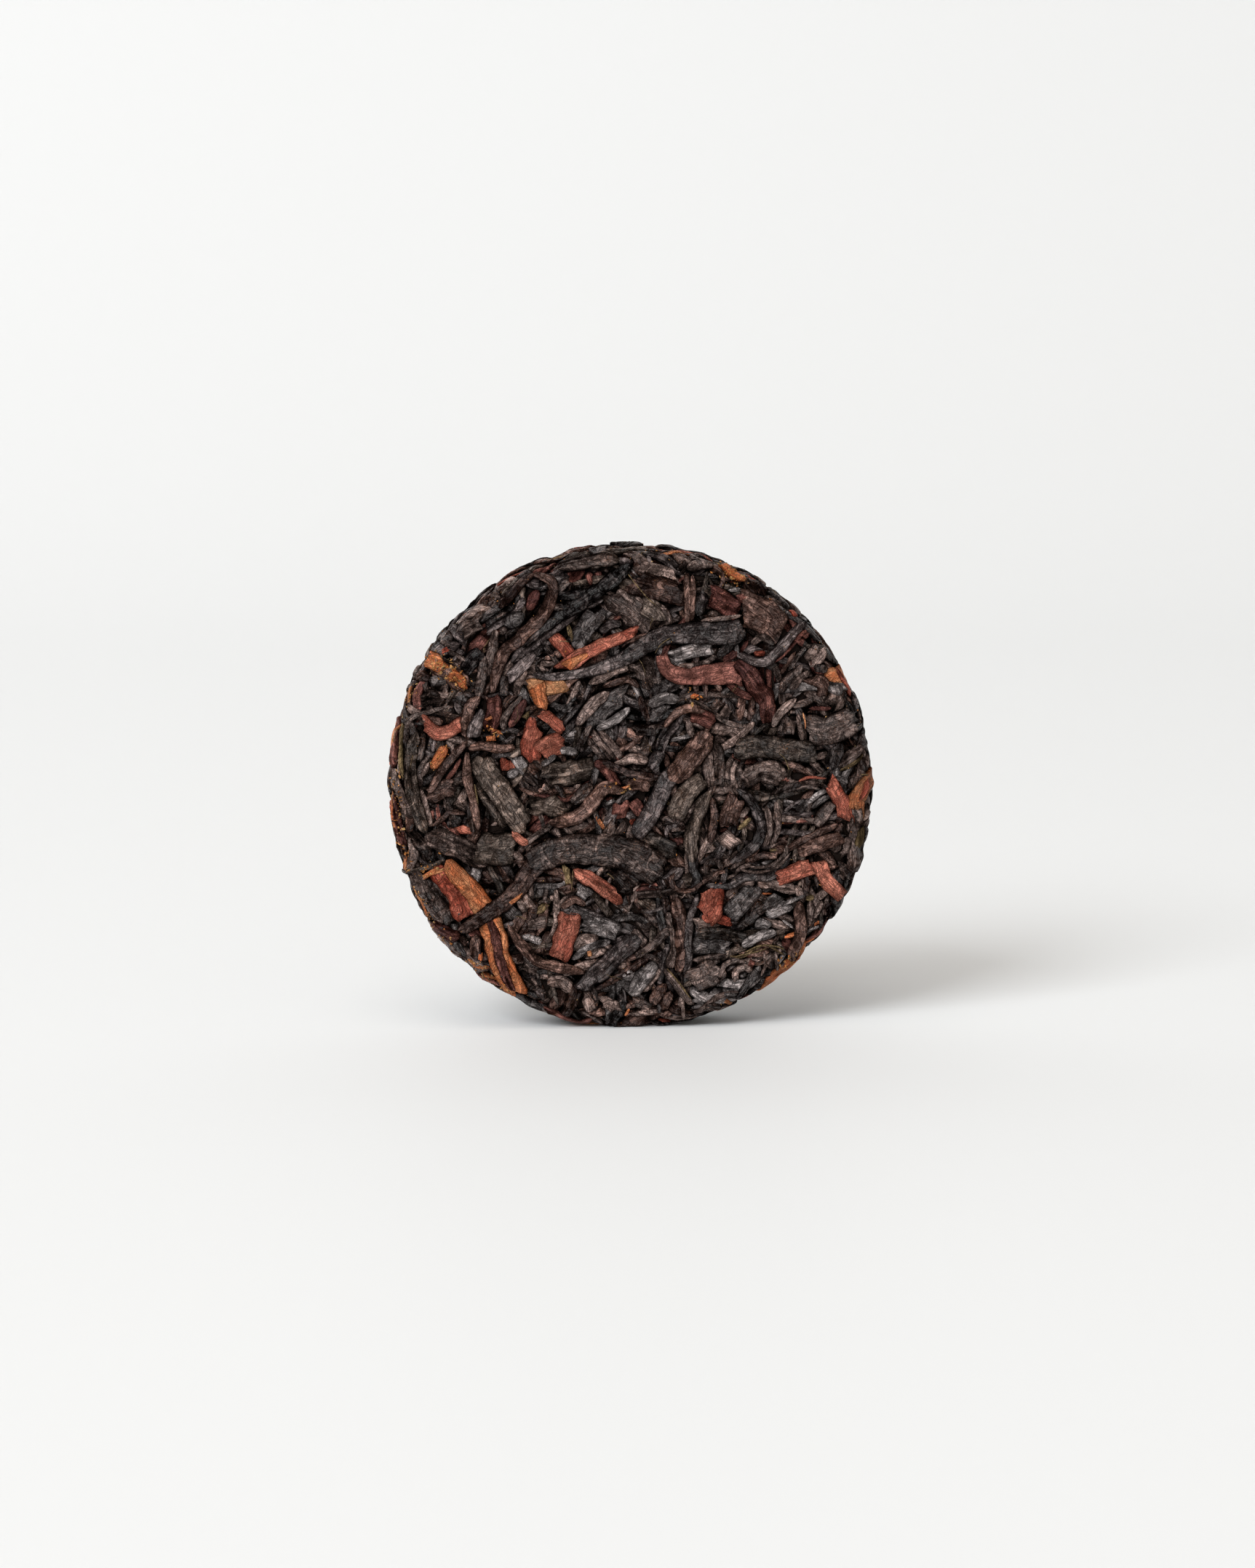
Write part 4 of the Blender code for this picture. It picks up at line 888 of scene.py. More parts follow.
# %% Bottom and lower right leaves
LEAVES += [
    ("brown", "rolled", 1.2, (2.5, -25.0), (3.3, -23.5), (4.1, -22.6)),
    ("brown", "rolled", 1.0, (3.8, -25.6), (4.6, -23.4)),
    ("dark", "flat", 1.0, (0.4, -24.5), (2.5, -25.4)),
    ("dark", "rolled", 1.0, (1.4, -23.5), (3.4, -20.8)),
    ("slate", "rolled", 1.6, (0.1, -24.0), (1.4, -22.0), (3.0, -20.1)),
    ("brown", "grooved", 0.8, (-3.9, -23.3), (-1.5, -21.8), (1.2, -20.2), (2.4, -19.3)),
    ("black", "grooved", 1.9, (-5.9, -23.4), (-4.3, -21.8), (-2.5, -20.2), (-0.5, -18.3), (1.3, -17.1)),
    ("dark", "rolled", 0.9, (3.8, -20.8), (5.0, -22.2), (6.2, -23.8), (7.3, -25.1)),
    ("straw", "thread", 0.22, (4.2, -20.8), (5.4, -22.2), (6.9, -24.2)),
    ("dark", "grooved", 1.3, (4.3, -14.4), (5.2, -16.5), (5.2, -19.0), (4.4, -20.8)),
    ("brown", "grooved", 1.5, (5.0, -12.8), (5.6, -15.0), (5.8, -17.0), (6.2, -19.0), (5.5, -21.4)),
    ("black", "rolled", 0.9, (7.7, -12.3), (7.4, -13.8), (6.8, -15.2), (6.6, -17.5), (6.7, -20.0),
     (6.2, -21.7)),
    ("dark", "flat", 1.5, (7.4, -15.8), (10.1, -16.4)),
    ("slate", "flat", 1.8, (7.1, -18.0), (9.0, -18.3), (11.2, -18.2)),
    ("dark", "crumpled", 1.2, (7.4, -20.1), (10.4, -19.6)),
    ("dark", "smooth", 2.6, (6.8, -22.4), (8.6, -21.6), (10.3, -20.5)),
    ("dark", "rolled", 1.1, (8.6, -24.9), (12.2, -24.7)),
    ("orange", "crumpled", 0.5, (10.6, -24.3), (11.6, -24.8)),
    ("slate", "rolled", 0.5, (10.4, -23.7), (12.3, -23.8)),
    ("dark", "rolled", 0.6, (10.0, -22.2), (10.6, -20.6), (12.0, -19.9), (13.6, -20.4)),
    ("maroon", "crumpled", 1.3, (13.2, -20.2), (14.2, -20.6)),
    ("dark", "rolled", 0.8, (12.0, -22.4), (12.0, -21.2), (13.0, -20.7), (13.9, -21.4)),
    ("slate", "crumpled", 0.7, (12.6, -21.7), (13.2, -21.5)),
    ("slate", "grooved", 1.0, (12.2, -24.2), (13.6, -22.3), (14.7, -20.7)),
    ("slate", "grooved", 0.7, (13.4, -24.0), (15.3, -21.8)),
    ("dark", "rolled", 0.45, (15.2, -18.9), (15.4, -20.5), (14.9, -21.9)),
    ("dark", "rolled", 0.45, (15.9, -18.9), (16.1, -20.9)),
    ("dark", "rolled", 0.45, (16.5, -18.9), (16.7, -21.1)),
    ("orange", "crumpled", 0.8, (17.3, -20.3), (18.4, -19.9), (19.4, -19.3)),
    ("orange", "rolled", 0.25, (16.1, -22.0), (17.3, -21.2)),
    ("maroon", "crumpled", 1.6, (17.6, -17.4), (18.8, -18.9)),
    ("orange", "crumpled", 0.5, (17.9, -17.2), (19.3, -16.8)),
    ("maroon", "rolled", 0.5, (20.1, -17.9), (21.3, -17.0), (22.3, -15.5)),
    ("orange", "thread", 0.25, (19.9, -18.1), (21.1, -17.3)),
    ("dark", "rolled", 0.8, (20.5, -13.1), (20.4, -15.0), (20.4, -16.1)),
    ("dark", "rolled", 0.7, (21.8, -13.2), (21.3, -14.2), (20.9, -15.2)),
    ("orange", "crumpled", 0.4, (21.0, -16.0), (21.5, -15.6)),
    ("brown", "rolled", 0.4, (23.1, -13.3), (22.3, -13.9), (22.3, -14.9)),
    ("dark", "rolled", 0.9, (21.1, -12.9), (22.7, -11.8)),
    ("dark", "rolled", 0.5, (21.0, -9.9), (21.3, -11.6)),
    ("dark", "crumpled", 1.2, (23.7, -9.1), (24.9, -10.7)),
    ("dark", "crumpled", 1.3, (14.1, -11.2), (16.5, -11.3), (18.9, -11.9)),
    ("dark", "rolled", 1.2, (10.9, -12.8), (12.8, -11.3), (14.3, -10.9)),
    ("orange", "thread", 0.2, (14.9, -12.3), (16.3, -12.4)),
    ("slate", "flat", 1.3, (15.5, -14.7), (18.0, -13.5)),
    ("slate", "flat", 1.1, (15.1, -14.0), (16.9, -12.6)),
    ("dark", "flat", 1.5, (12.3, -16.0), (13.8, -14.6), (15.0, -13.4)),
    ("slate", "flat", 1.9, (11.2, -14.8), (12.8, -13.1), (14.1, -11.7)),
    ("olive", "flat", 1.2, (7.9, -16.8), (10.5, -16.9), (13.0, -17.4)),
    ("slate", "rolled", 1.1, (12.6, -18.3), (14.6, -17.2), (16.7, -16.6)),
    ("brown", "rolled", 0.8, (20.0, -9.7), (20.1, -11.0), (19.9, -12.5)),
    ("brown", "rolled", 1.3, (19.2, -13.2), (19.2, -15.0), (19.4, -17.0), (18.5, -18.8), (18.6, -19.9)),
    ("slate", "rolled", 0.5, (17.5, -13.4), (18.8, -12.9), (19.9, -12.5)),
    ("straw", "rolled", 0.6, (20.0, -13.0), (20.8, -12.6)),
    ("straw", "thread", 0.3, (11.2, -19.4), (12.8, -19.5), (14.2, -18.6), (15.5, -18.2), (17.7, -19.4)),
    ("straw", "thread", 0.2, (11.9, -19.5), (13.4, -19.1), (14.4, -18.9), (15.6, -18.5)),
    ("straw", "thread", 0.2, (13.0, -19.0), (14.8, -18.2), (16.6, -18.3), (17.6, -18.7)),
    ("slate", "rolled", 0.35, (17.3, -15.3), (18.6, -16.3)),
    ("brown", "rolled", 0.5, (9.4, -10.4), (10.1, -9.9), (11.0, -9.8)),
    ("dark", "rolled", 0.8, (8.6, -10.1), (8.8, -9.0), (9.9, -8.7), (10.5, -9.6)),
    ("black", "rolled", 0.9, (8.6, -11.4), (11.2, -11.4), (13.0, -10.4), (16.0, -10.3), (18.4, -8.0)),
    ("dark", "rolled", 0.35, (12.3, -9.6), (14.5, -9.9), (16.6, -9.4), (18.3, -7.6)),
    ("dark", "rolled", 0.35, (12.8, -9.1), (14.7, -9.4), (16.4, -8.9), (17.8, -7.4)),
    ("red", "crumpled", 0.9, (8.0, -15.2), (9.6, -15.0), (11.7, -15.8)),
    ("red", "flat", 2.5, (9.4, -11.7), (9.3, -13.2), (8.7, -14.9)),
    ("olive", "crumpled", 1.4, (5.9, -10.7), (7.1, -10.5)),
    ("brown", "rolled", 0.55, (5.1, -9.9), (4.6, -11.0), (5.5, -11.9), (7.0, -11.9), (8.3, -11.0),
     (9.5, -10.4)),
    ("red", "flat", 1.7, (16.6, -10.7), (18.3, -10.0), (21.0, -9.0)),
    ("red", "flat", 1.5, (21.4, -8.8), (22.0, -10.4), (23.0, -11.6), (24.1, -12.7)),
]
print("leaves so far:", len(LEAVES))

# %% The broad leaf and its stalk, on top of all
LEAVES += [
    ("brown", "rolled", 0.9, (-11.5, -7.0), (-9.5, -6.6), (-7.4, -6.3)),
    ("brown", "smooth", (2.2, 1.2), (-9.0, -8.0), (-11.2, -9.6), (-12.6, -11.7), (-14.4, -13.4),
     (-16.6, -14.9), (-19.2, -16.7)),
    ("dark", "smooth", (2.6, 3.6), (-11.3, -9.0), (-8.5, -7.6), (-5.0, -7.3), (-2.0, -7.5), (0.8, -8.3),
     (3.6, -10.0)),
    ("orange", "flat", 0.45, (-12.5, -12.6), (-13.3, -13.2)),
]
print("leaves in their places:", len(LEAVES))

# %% [markdown]
# ## From the photograph to the skin
#
# The camera stood a little above the cake and a little to its left. A place read off the picture
# is turned into a place on the skin by trying: the skin point for the first guess is projected,
# the guess is moved by what is missing, and a few rounds of that meet the wanted place.

# %% The camera's directions, and reading places off the picture
AZIMUTH, ELEVATION = math.radians(-3.0), math.radians(9.0)
CAMERA_DISTANCE = 494.0  # from the middle of the cake, in millimetres
TOWARDS = np.array([math.sin(AZIMUTH) * math.cos(ELEVATION),
                    -math.cos(AZIMUTH) * math.cos(ELEVATION), math.sin(ELEVATION)])
RIGHT = np.array([math.cos(AZIMUTH), math.sin(AZIMUTH), 0.0])
UPWARD = np.cross(RIGHT, -TOWARDS)


def seen(points):
    """Where points appear, in millimetres to the right of and above the middle of the cake."""
    from_middle = points / MM - np.array([0, 0, CENTRE_HEIGHT])
    scale = CAMERA_DISTANCE / (CAMERA_DISTANCE - from_middle @ TOWARDS)
    return np.stack([from_middle @ RIGHT, from_middle @ UPWARD], axis=-1) * scale[..., None]


def read_off(places):
    """Places on the front skin of places in the picture."""
    wanted = np.array(places, dtype=float)
    at = wanted.copy()
    for _ in range(8):
        at = at + wanted - seen(front.points(at[:, 0], at[:, 1], np.zeros(len(at))))
        at *= np.minimum(1, SKIN_HALF / np.maximum(np.hypot(*at.T), 1))[:, None]
    return at


# dark holes of the front, which stay free of small leaves
PITS = read_off([(17.3, -16.3), (-15.6, -21), (26.0, 2), (-0.6, -23.6), (-1, -5.4), (20.8, -16.9),
                 (0.7, -21.5), (-20.2, -2.6), (-13.4, -18.8)])
print("the middle of the front is seen at", seen(front.points(*np.zeros((3, 1))))[0].round(2), "mm")

# %% [markdown]
# ## Leaves of no particular place
#
# The rim is filled first, since leaves of both faces fold over it. Then both faces get a bed of
# small dark scraps. The back and the rim also get large leaves, with finishes in about the
# shares that the front shows. The front only gets strands between its scraps, because its large
# leaves come later, in their own places. A short scrap is often two or three strands side by
# side, as a torn leaf is, and each leaf takes the lowest of a few places.

# %% Scattered leaves
FINISHES = ("dark", "black", "slate", "brown", "olive", "maroon", "red", "orange", "straw")
SCRAP_SHARES = (0.40, 0.20, 0.08, 0.19, 0.09, 0.04, 0.00, 0.00, 0.00)
LEAF_SHARES = (0.28, 0.18, 0.11, 0.19, 0.09, 0.07, 0.04, 0.035, 0.005)
FORM_SHARES = {"rolled": 0.28, "grooved": 0.24, "flat": 0.18, "crumpled": 0.30}
OPENED = 1.4  # flat and crumpled leaves are wider by this
STRAND_SHARES, LONG = (0.50, 0.35, 0.15), 6.0  # scraps of 1, 2 and 3 strands, up to this length
STRAND_GAP = 0.9  # distance of strands, as a share of their width
TRIES = 6  # places tried for each leaf
PIT_RADIUS = 0.7


def lowest(skin, routes):
    """The route with the least under it, so that leaves fill gaps before they pile up."""
    return min(routes, key=lambda route: skin.height(*route.T).mean())


def wander(skin, length, bend):
    """A route of that length through a random place on the skin."""
    place, heading = skin.somewhere()
    points = [place]
    for _ in range(3):
        heading += rng.normal(0, bend)
        points.append(points[-1] + length / 3 * np.array([math.cos(heading), math.sin(heading)]))
    route = np.array(points)
    return skin.keep(route + place - route.mean(axis=0))


def in_pit(route):
    """Whether a route runs into one of the dark holes of the front."""
    gaps = np.hypot(*(np.array(route)[:, None] - PITS[None]).transpose(2, 0, 1))
    return gaps.min() < PIT_RADIUS


def scatter(skin, name, count, lengths, widths, shares, step):
    """Lays leaves of random places, sizes and finishes."""
    for _ in range(count):
        length = rng.uniform(*lengths)
        route = lowest(skin, [wander(skin, length, 0.35) for _ in range(TRIES)])
        if skin is front and in_pit(route):
            continue
        finish = rng.choice(FINISHES, p=shares)
        form = rng.choice(list(FORM_SHARES), p=list(FORM_SHARES.values()))
        width = rng.uniform(*widths) * (OPENED if form in ("flat", "crumpled") else 1)
        ahead = route[-1] - route[0]
        beside = np.array([-ahead[1], ahead[0]]) / max(math.hypot(*ahead), 0.1) * width
        strands = 1 if length > LONG else rng.choice((1, 2, 3), p=STRAND_SHARES)
        for k in range(strands):
            shifted = skin.keep(route + beside * (k - (strands - 1) / 2) * STRAND_GAP)
            lay_leaf(skin, f"{name}_{finish}", shifted, (width, width * rng.uniform(0.5, 1)), form,
                     min(rng.normal(1, 0.2), 1.2), step)


SHARE = 1.0
scatter(rim, "rim", int(480 * SHARE), (2.0, 5.5), (0.6, 1.3), SCRAP_SHARES, 0.55)
scatter(rim, "rim", int(200 * SHARE), (4.0, 11.0), (0.9, 2.4), LEAF_SHARES, 0.32)
front.take_edge(rim)
back.take_edge(rim)
scatter(back, "back", int(850 * SHARE), (2.0, 5.5), (0.6, 1.3), SCRAP_SHARES, 0.55)
scatter(back, "back", int(250 * SHARE), (4.0, 14.0), (0.9, 3.0), LEAF_SHARES, 0.32)
scatter(front, "front", int(620 * SHARE), (2.0, 5.0), (0.6, 1.2), SCRAP_SHARES, 0.50)
scatter(front, "front", int(230 * SHARE), (4.5, 11.0), (0.6, 1.2), SCRAP_SHARES, 0.36)
print("leaves laid:", {name: len(leaves) for name, leaves in bins.items()})

# %% Lay the leaves in their places
WIDER = 1.18  # widths were read between the shadows at the sides, and leaves reach into those
for finish, form, width, *route in LEAVES:
    lay_leaf(front, f"front_{finish}", read_off(route), WIDER * np.array(width), form,
             rng.normal(1, 0.08), 0.28)
rim.take_faces()
for skin, name in ((front, "front"), (back, "back"), (rim, "rim")):
    skin.finish()
    print(name, "heights:", np.percentile(skin.map, (1, 10, 50, 90, 99, 100)).round(2))
for name, leaves in bins.items():
    bins[name] = [leaf for leaf in leaves if not buried(leaf)]
print("leaves that show:", sum(len(leaves) for leaves in bins.values()))

# %% [markdown]
# ## Crumbs and fibres
#
# Rusty crumbs lie in lines, where an orange leaf was torn. Others are strewn over the whole
# cake, with most of them on the rim and fewest in a band across the middle, and a few loose
# fibres lie on top. A crumb is an icosphere of twenty faces, squashed, turned at random and sunk
# by half its size into whatever is there.

# %% One crumb
LOWEST = 0.02 * MM  # no crumb comes nearer to the ground
CRUMB_LEAST, CRUMB_MOST = (0.9, 0.6, 0.3), (1.5, 1.0, 0.6)  # its radii for its size


@functools.lru_cache(maxsize=None)
def crumb_shape():
    """The mesh of an icosphere and its points."""
    ball = bmesh.new()
    bmesh.ops.create_icosphere(ball, subdivisions=1, radius=1.0)
    mesh = bpy.data.meshes.new("crumb")
    ball.to_mesh(mesh)
    points = np.array([v.co[:] for v in ball.verts])
    ball.free()
    return mesh, points


def drop_crumb(skin, name, u, v, size):
    """One crumb, half sunk into whatever is at that place."""
    mesh, points = crumb_shape()
    radii = size * rng.uniform(CRUMB_LEAST, CRUMB_MOST)
    turned = np.linalg.qr(rng.normal(size=(3, 3)))[0]
    turned *= np.sign(np.linalg.det(turned))
    shape = points * rng.uniform(0.8, 1.15, (len(points), 1)) * radii @ turned
    here = np.array([u]), np.array([v])
    rise = pressed(skin, *here, skin.height(*here))
    middle = skin.points(*here, rise - 0.5 * size)[0]
    placed = middle + shape * MM
    placed[:, 2] = np.maximum(placed[:, 2], LOWEST)
    marks = np.tile([rng.uniform(0.4, 1.2), 1, 0, rng.random()], (len(points), 1))
    bins.setdefault(name, []).append((mesh, placed, points[:, :2] * size, marks))


print("a crumb has", len(crumb_shape()[1]), "points")

# %% Crumbs along torn leaves
# finish, spread, number, and the line along which they lie
FLAKES = [
    ("rust", 0.6, 110, (-22.9, 14.8), (-18.6, 11.0)), ("brown", 0.7, 30, (-22.9, 14.8), (-18.6, 11.0)),
    ("straw", 0.5, 8, (-22.9, 14.8), (-20.6, 12.8)), ("rust", 0.5, 80, (10.7, 25.1), (12.9, 23.4)),
    ("straw", 0.45, 12, (10.7, 25.1), (12.9, 23.4)), ("rust", 0.35, 14, (-15.9, 6.6), (-14.8, 5.2)),
    ("rust", 0.35, 20, (-22.4, 1.8), (-20.9, 4.4)), ("rust", 0.35, 25, (17.2, -20.4), (19.4, -19.0)),
    ("rust", 0.45, 26, (-25.6, 9.4), (-24.6, 11.9)), ("rust", 0.4, 70, (-27.1, 1.5), (-25.3, -10.5)),
    ("rust", 0.5, 30, (-23.7, -10.0), (-21.8, -9.2)), ("rust", 0.35, 14, (-18.1, -19.9), (-16.3, -21.0)),
    ("rust", 0.4, 60, (-24.9, -11.4), (-20.3, -18.6)), ("brown", 0.6, 40, (-27.0, 4.0), (-25.5, -9.5)),
    ("rust", 0.4, 10, (6.6, 10.0), (7.8, 10.1)), ("rust", 0.4, 12, (-2.6, -0.4), (0.6, 0.3)),
    ("rust", 0.35, 40, (-20.4, -18.8), (-13.8, -23.7)), ("brown", 0.5, 40, (-24.9, -11.4), (-13.8, -23.7)),
]


def drop_flakes(finish, spread, number, start, end):
    """Crumbs strewn along a line in the picture."""
    for way in rng.random(int(number * SHARE)):
        place = np.array(start) * (1 - way) + np.array(end) * way + rng.normal(0, spread, 2)
        place = read_off([place])[0]
        drop_crumb(front, f"front_{finish}_crumbs", *place, rng.uniform(0.08, 0.33))


for flakes in FLAKES:
    drop_flakes(*flakes)
print("crumbs along lines:", sum(len(b) for name, b in bins.items() if name.endswith("crumbs")))

# %% Strewn crumbs and fibres
CRUMB_SHARES = {"rust": 0.35, "straw": 0.15, "brown": 0.30, "dark": 0.20}
BAND, BAND_REACH = 2.0, 22.0  # half the height of the band across the middle, and how far it goes
for skin, name, count in ((rim, "rim", 420), (front, "front", 330), (back, "back", 300)):
    for _ in range(int(count * SHARE)):
        (u, v), _ = skin.somewhere()
        in_band = skin is not rim and abs(v) <= BAND and math.hypot(u, v) <= BAND_REACH
        if rng.random() < 0.5 and in_band:
            continue
        finish = rng.choice(list(CRUMB_SHARES), p=list(CRUMB_SHARES.values()))
        drop_crumb(skin, f"{name}_{finish}_crumbs", u, v, rng.uniform(0.06, 0.16))
for skin, name, count in ((rim, "rim", 20), (front, "front", 16), (back, "back", 26)):
    for _ in range(int(count * SHARE)):
        route = wander(skin, rng.uniform(0.8, 2.6), 0.5)
        lay_leaf(skin, f"{name}_straw", route, rng.uniform(0.07, 0.14), "thread", 0.9, 0.4)
print("crumbs in all:", sum(len(b) for name, b in bins.items() if name.endswith("crumbs")))

# %% [markdown]
# ## Pieces
#
# Leaves of one place and one finish become one piece. Copies of their blanks are joined in a
# bmesh, and the places worked out above are written over them in one go. A laid leaf is set
# down here, and a crumb already has its points.

# %% Make the pieces
def make_piece(name, leaves):
    """Joins the leaves of a bin into one object."""
    joined = bmesh.new()
    leaves = [set_down(leaf) if len(leaf) > 4 else leaf for leaf in leaves]
    for leaf in leaves:
        joined.from_mesh(leaf[0])
    mesh = bpy.data.meshes.new(name)
    joined.to_mesh(mesh)
    joined.free()
    points, grain, marks = (np.concatenate([leaf[k] for leaf in leaves]) for k in (1, 2, 3))
    mesh.vertices.foreach_set("co", points.ravel())
    corners = np.empty(len(mesh.loops), dtype=int)
    mesh.loops.foreach_get("vertex_index", corners)
    mesh.uv_layers.new(name="grain").uv.foreach_set("vector", grain[corners].ravel())
    colours = mesh.color_attributes.new(name="leaf", type="FLOAT_COLOR", domain="POINT")
    colours.data.foreach_set("color", marks.ravel())
    mesh.shade_smooth()
    mesh.update()
    piece = bpy.data.objects.new(name, mesh)
    bpy.context.collection.objects.link(piece)
    return piece


pieces = {name: make_piece(f"{name}_leaves".replace("crumbs_leaves", "crumbs"), leaves)
          for name, leaves in sorted(bins.items())}
triangles = {name: sum(len(p.vertices) - 2 for p in piece.data.polygons)
             for name, piece in pieces.items()}
print("triangles:", triangles)
print("in all:", sum(triangles.values()))

# %% [markdown]
# ## The bed
#
# Under the leaves is a disc of leaf dust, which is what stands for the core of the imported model.
# Its half profile is spun round the cake's axis, and then every point is moved to the height
# that the maps began with, so that the lowest leaves touch it.

# %% The bed of leaf dust
BED_STEPS = 288  # faces round the disc
BED_FACE, BED_HOLE = 0.6, 0.4  # length of its faces, and radius of the hole that is filled last
SUNK = 0.1  # it lies this far under the heights that the maps began with
BLEND = 1.2  # the bumps of a face and of the rim are blended over this width


def make_bed():
    """The spun disc with its rough surface."""
    disc = bmesh.new()
    ways = np.linspace(BED_HOLE, 2 * SKIN_HALF - BED_HOLE, round(2 * SKIN_HALF / BED_FACE))
    radii, ys = profile(ways, np.zeros_like(ways))
    verts = [disc.verts.new((r * MM, y * MM, 0)) for r, y in zip(radii, ys)]
    line = [disc.edges.new(pair) for pair in zip(verts, verts[1:])]
    bmesh.ops.spin(disc, geom=verts + line, axis=(0, 1, 0), angle=-2 * math.pi, steps=BED_STEPS,
                   use_merge=True)
    bmesh.ops.remove_doubles(disc, verts=disc.verts, dist=MM * 0.001)
    holes = [e for e in disc.edges if e.is_boundary]
    bmesh.ops.holes_fill(disc, edges=holes, sides=0)
    bmesh.ops.recalc_face_normals(disc, faces=disc.faces)
    mesh = bpy.data.meshes.new("leaf_bed")
    disc.to_mesh(mesh)
    disc.free()
    return mesh


def rough_bed(mesh):
    """Moves the points of the spun disc to the bed's heights."""
    places = np.empty(3 * len(mesh.vertices))
    mesh.vertices.foreach_get("co", places)
    x, y, z = places.reshape(-1, 3).T / MM
    radius, angle = np.hypot(x, z), np.arctan2(z, x)
    on_rim = (radius > FLAT_RADIUS) & (np.abs(y) < RIM_HALF)
    turn = np.arctan2(np.maximum(radius - FLAT_RADIUS, 0), np.maximum(np.abs(y) - RIM_HALF, 1e-6))
    over_edge = FLAT_RADIUS + EDGE_RADIUS * turn
    way = np.where(radius <= FLAT_RADIUS, radius, over_edge)
    way = np.where(on_rim, SKIN_HALF - np.abs(y), way)
    u, v = way * np.cos(angle), way * np.sin(angle)
    across = np.sign(y) * (SKIN_HALF - way)
    on_face = rough(u, v, GRAIN, 3)
    round_rim = rough(angle * CAKE_RADIUS, across, GRAIN, 3)
    mix = np.clip((way - FLAT_RADIUS + BLEND / 2) / BLEND, 0, 1)
    rise = BED - SUNK + BED_ROUGH * (on_face * (1 - mix) + round_rim * mix)
    ways = np.where(y > 0, 2 * SKIN_HALF - way, way)
    pressed_face = np.where(y > 0, pressed(back, u, v, rise), pressed(front, u, v, rise))
    rise = pressed_face * (1 - mix) + pressed(rim, angle * CAKE_RADIUS, across, rise) * mix
    mesh.vertices.foreach_set("co", skin_points(ways, angle, rise).ravel())
    mesh.shade_smooth()
    mesh.update()


bed_mesh = make_bed()
rough_bed(bed_mesh)
bed = bpy.data.objects.new("leaf_bed", bed_mesh)
bpy.context.collection.objects.link(bed)
print("bed:", len(bed_mesh.polygons), "faces")

# %% [markdown]
# ## Finishes
#
# Fermented, pressed leaf is dark and has a dull sheen, most on the smooth underside of a leaf.
# Each finish has a light and a dark tone. Veins along the grain come from the UV map, which is in
# millimetres, and wrinkles and dust from object space. The colour attribute says how deep a point lies,
# which is painted into the colour as shade, and each leaf leans to one tone by its own number. A node is
# added by one small function, which links an input when it is given a node or a socket and sets it
# otherwise.

# %% Colour and node helpers
def colour(code):
    """Linear RGBA of an sRGB hex code."""
    channels = [int(code[i : i + 2], 16) / 255 for i in (1, 3, 5)]
    return [c / 12.92 if c < 0.04045 else ((c + 0.055) / 1.055) ** 2.4 for c in channels] + [1.0]


def add(tree, kind, inputs, **settings):
    """Adds a node. An input given as a node or a socket is linked, any other value is set."""
    node = tree.nodes.new("ShaderNode" + kind)
    for name, value in settings.items():
        setattr(node, name, value)
    for name, value in inputs.items():
        if isinstance(value, bpy.types.Node):
            value = value.outputs[0]
        if isinstance(value, bpy.types.NodeSocket):
            tree.links.new(value, node.inputs[name])
        else:
            node.inputs[name].default_value = value
    return node


print("linear value of #808080:", round(colour("#808080")[0], 3))

# %% [markdown]
# Fine creases are where a smooth noise passes through its middle value: there the distance from 0.5 is
# zero, along thin winding lines. The same pattern paints shade into the colour and lowers the bump.

# %% Patterns of a dry leaf
VEIN_ACROSS, VEIN_ALONG = 0.42, 2.2  # sizes of the patterns, in millimetres
WRINKLE, MOTTLE, SPECK = 1.1, 2.2, 0.15
DUST = "#8a5028"  # reddish leaf dust that clings to every leaf


def creases(tree, vector, scale, sharpness):
    """(the noise itself, 0 in its fine creases and 1 between them)."""
    noise_here = add(tree, "TexNoise", {"Vector": vector, "Scale": scale, "Detail": 3.0,
                                        "Distortion": 0.8})
    away = add(tree, "Math", {0: noise_here, 1: 0.5}, operation="SUBTRACT")
    away = add(tree, "Math", {0: away}, operation="ABSOLUTE")
    spread = add(tree, "MapRange", {"Value": away, "From Max": 1 / sharpness},
                 interpolation_type="SMOOTHSTEP")
    return noise_here, spread


def weigh(tree, *terms):
    """The sum of (node, weight) terms."""
    total = 0.0
    for term, weight in terms:
        total = add(tree, "Math", {0: term, 1: weight, 2: total}, operation="MULTIPLY_ADD")
    return total


def times(tree, *factors):
    """The product of factors, each (node, least value): it runs from the least value to 1."""
    product = 1.0
    for factor, least in factors:
        part = add(tree, "Math", {0: factor, 1: 1 - least, 2: least}, operation="MULTIPLY_ADD")
        product = add(tree, "Math", {0: part, 1: product}, operation="MULTIPLY")
    return product


print("veins are", VEIN_ACROSS, "mm apart")

# %% [markdown]
# The colour attribute that the leaves carry is read by channel: red is the shade of the whole leaf, green
# its relief and the shadow of crevices, blue how near a point is to the leaf's edge, and alpha the leaf's
# own number. Green and blue are painted shade: a crease, a crevice and a leaf's edge get their colour
# darkened, and a crease also loses the gloss and turns duller. The pale finishes get less painted shade,
# since light comes through them.

# %% The leaf finish
TONE_CURVE = 1.6  # over 1, so that the light tone is the rarer one


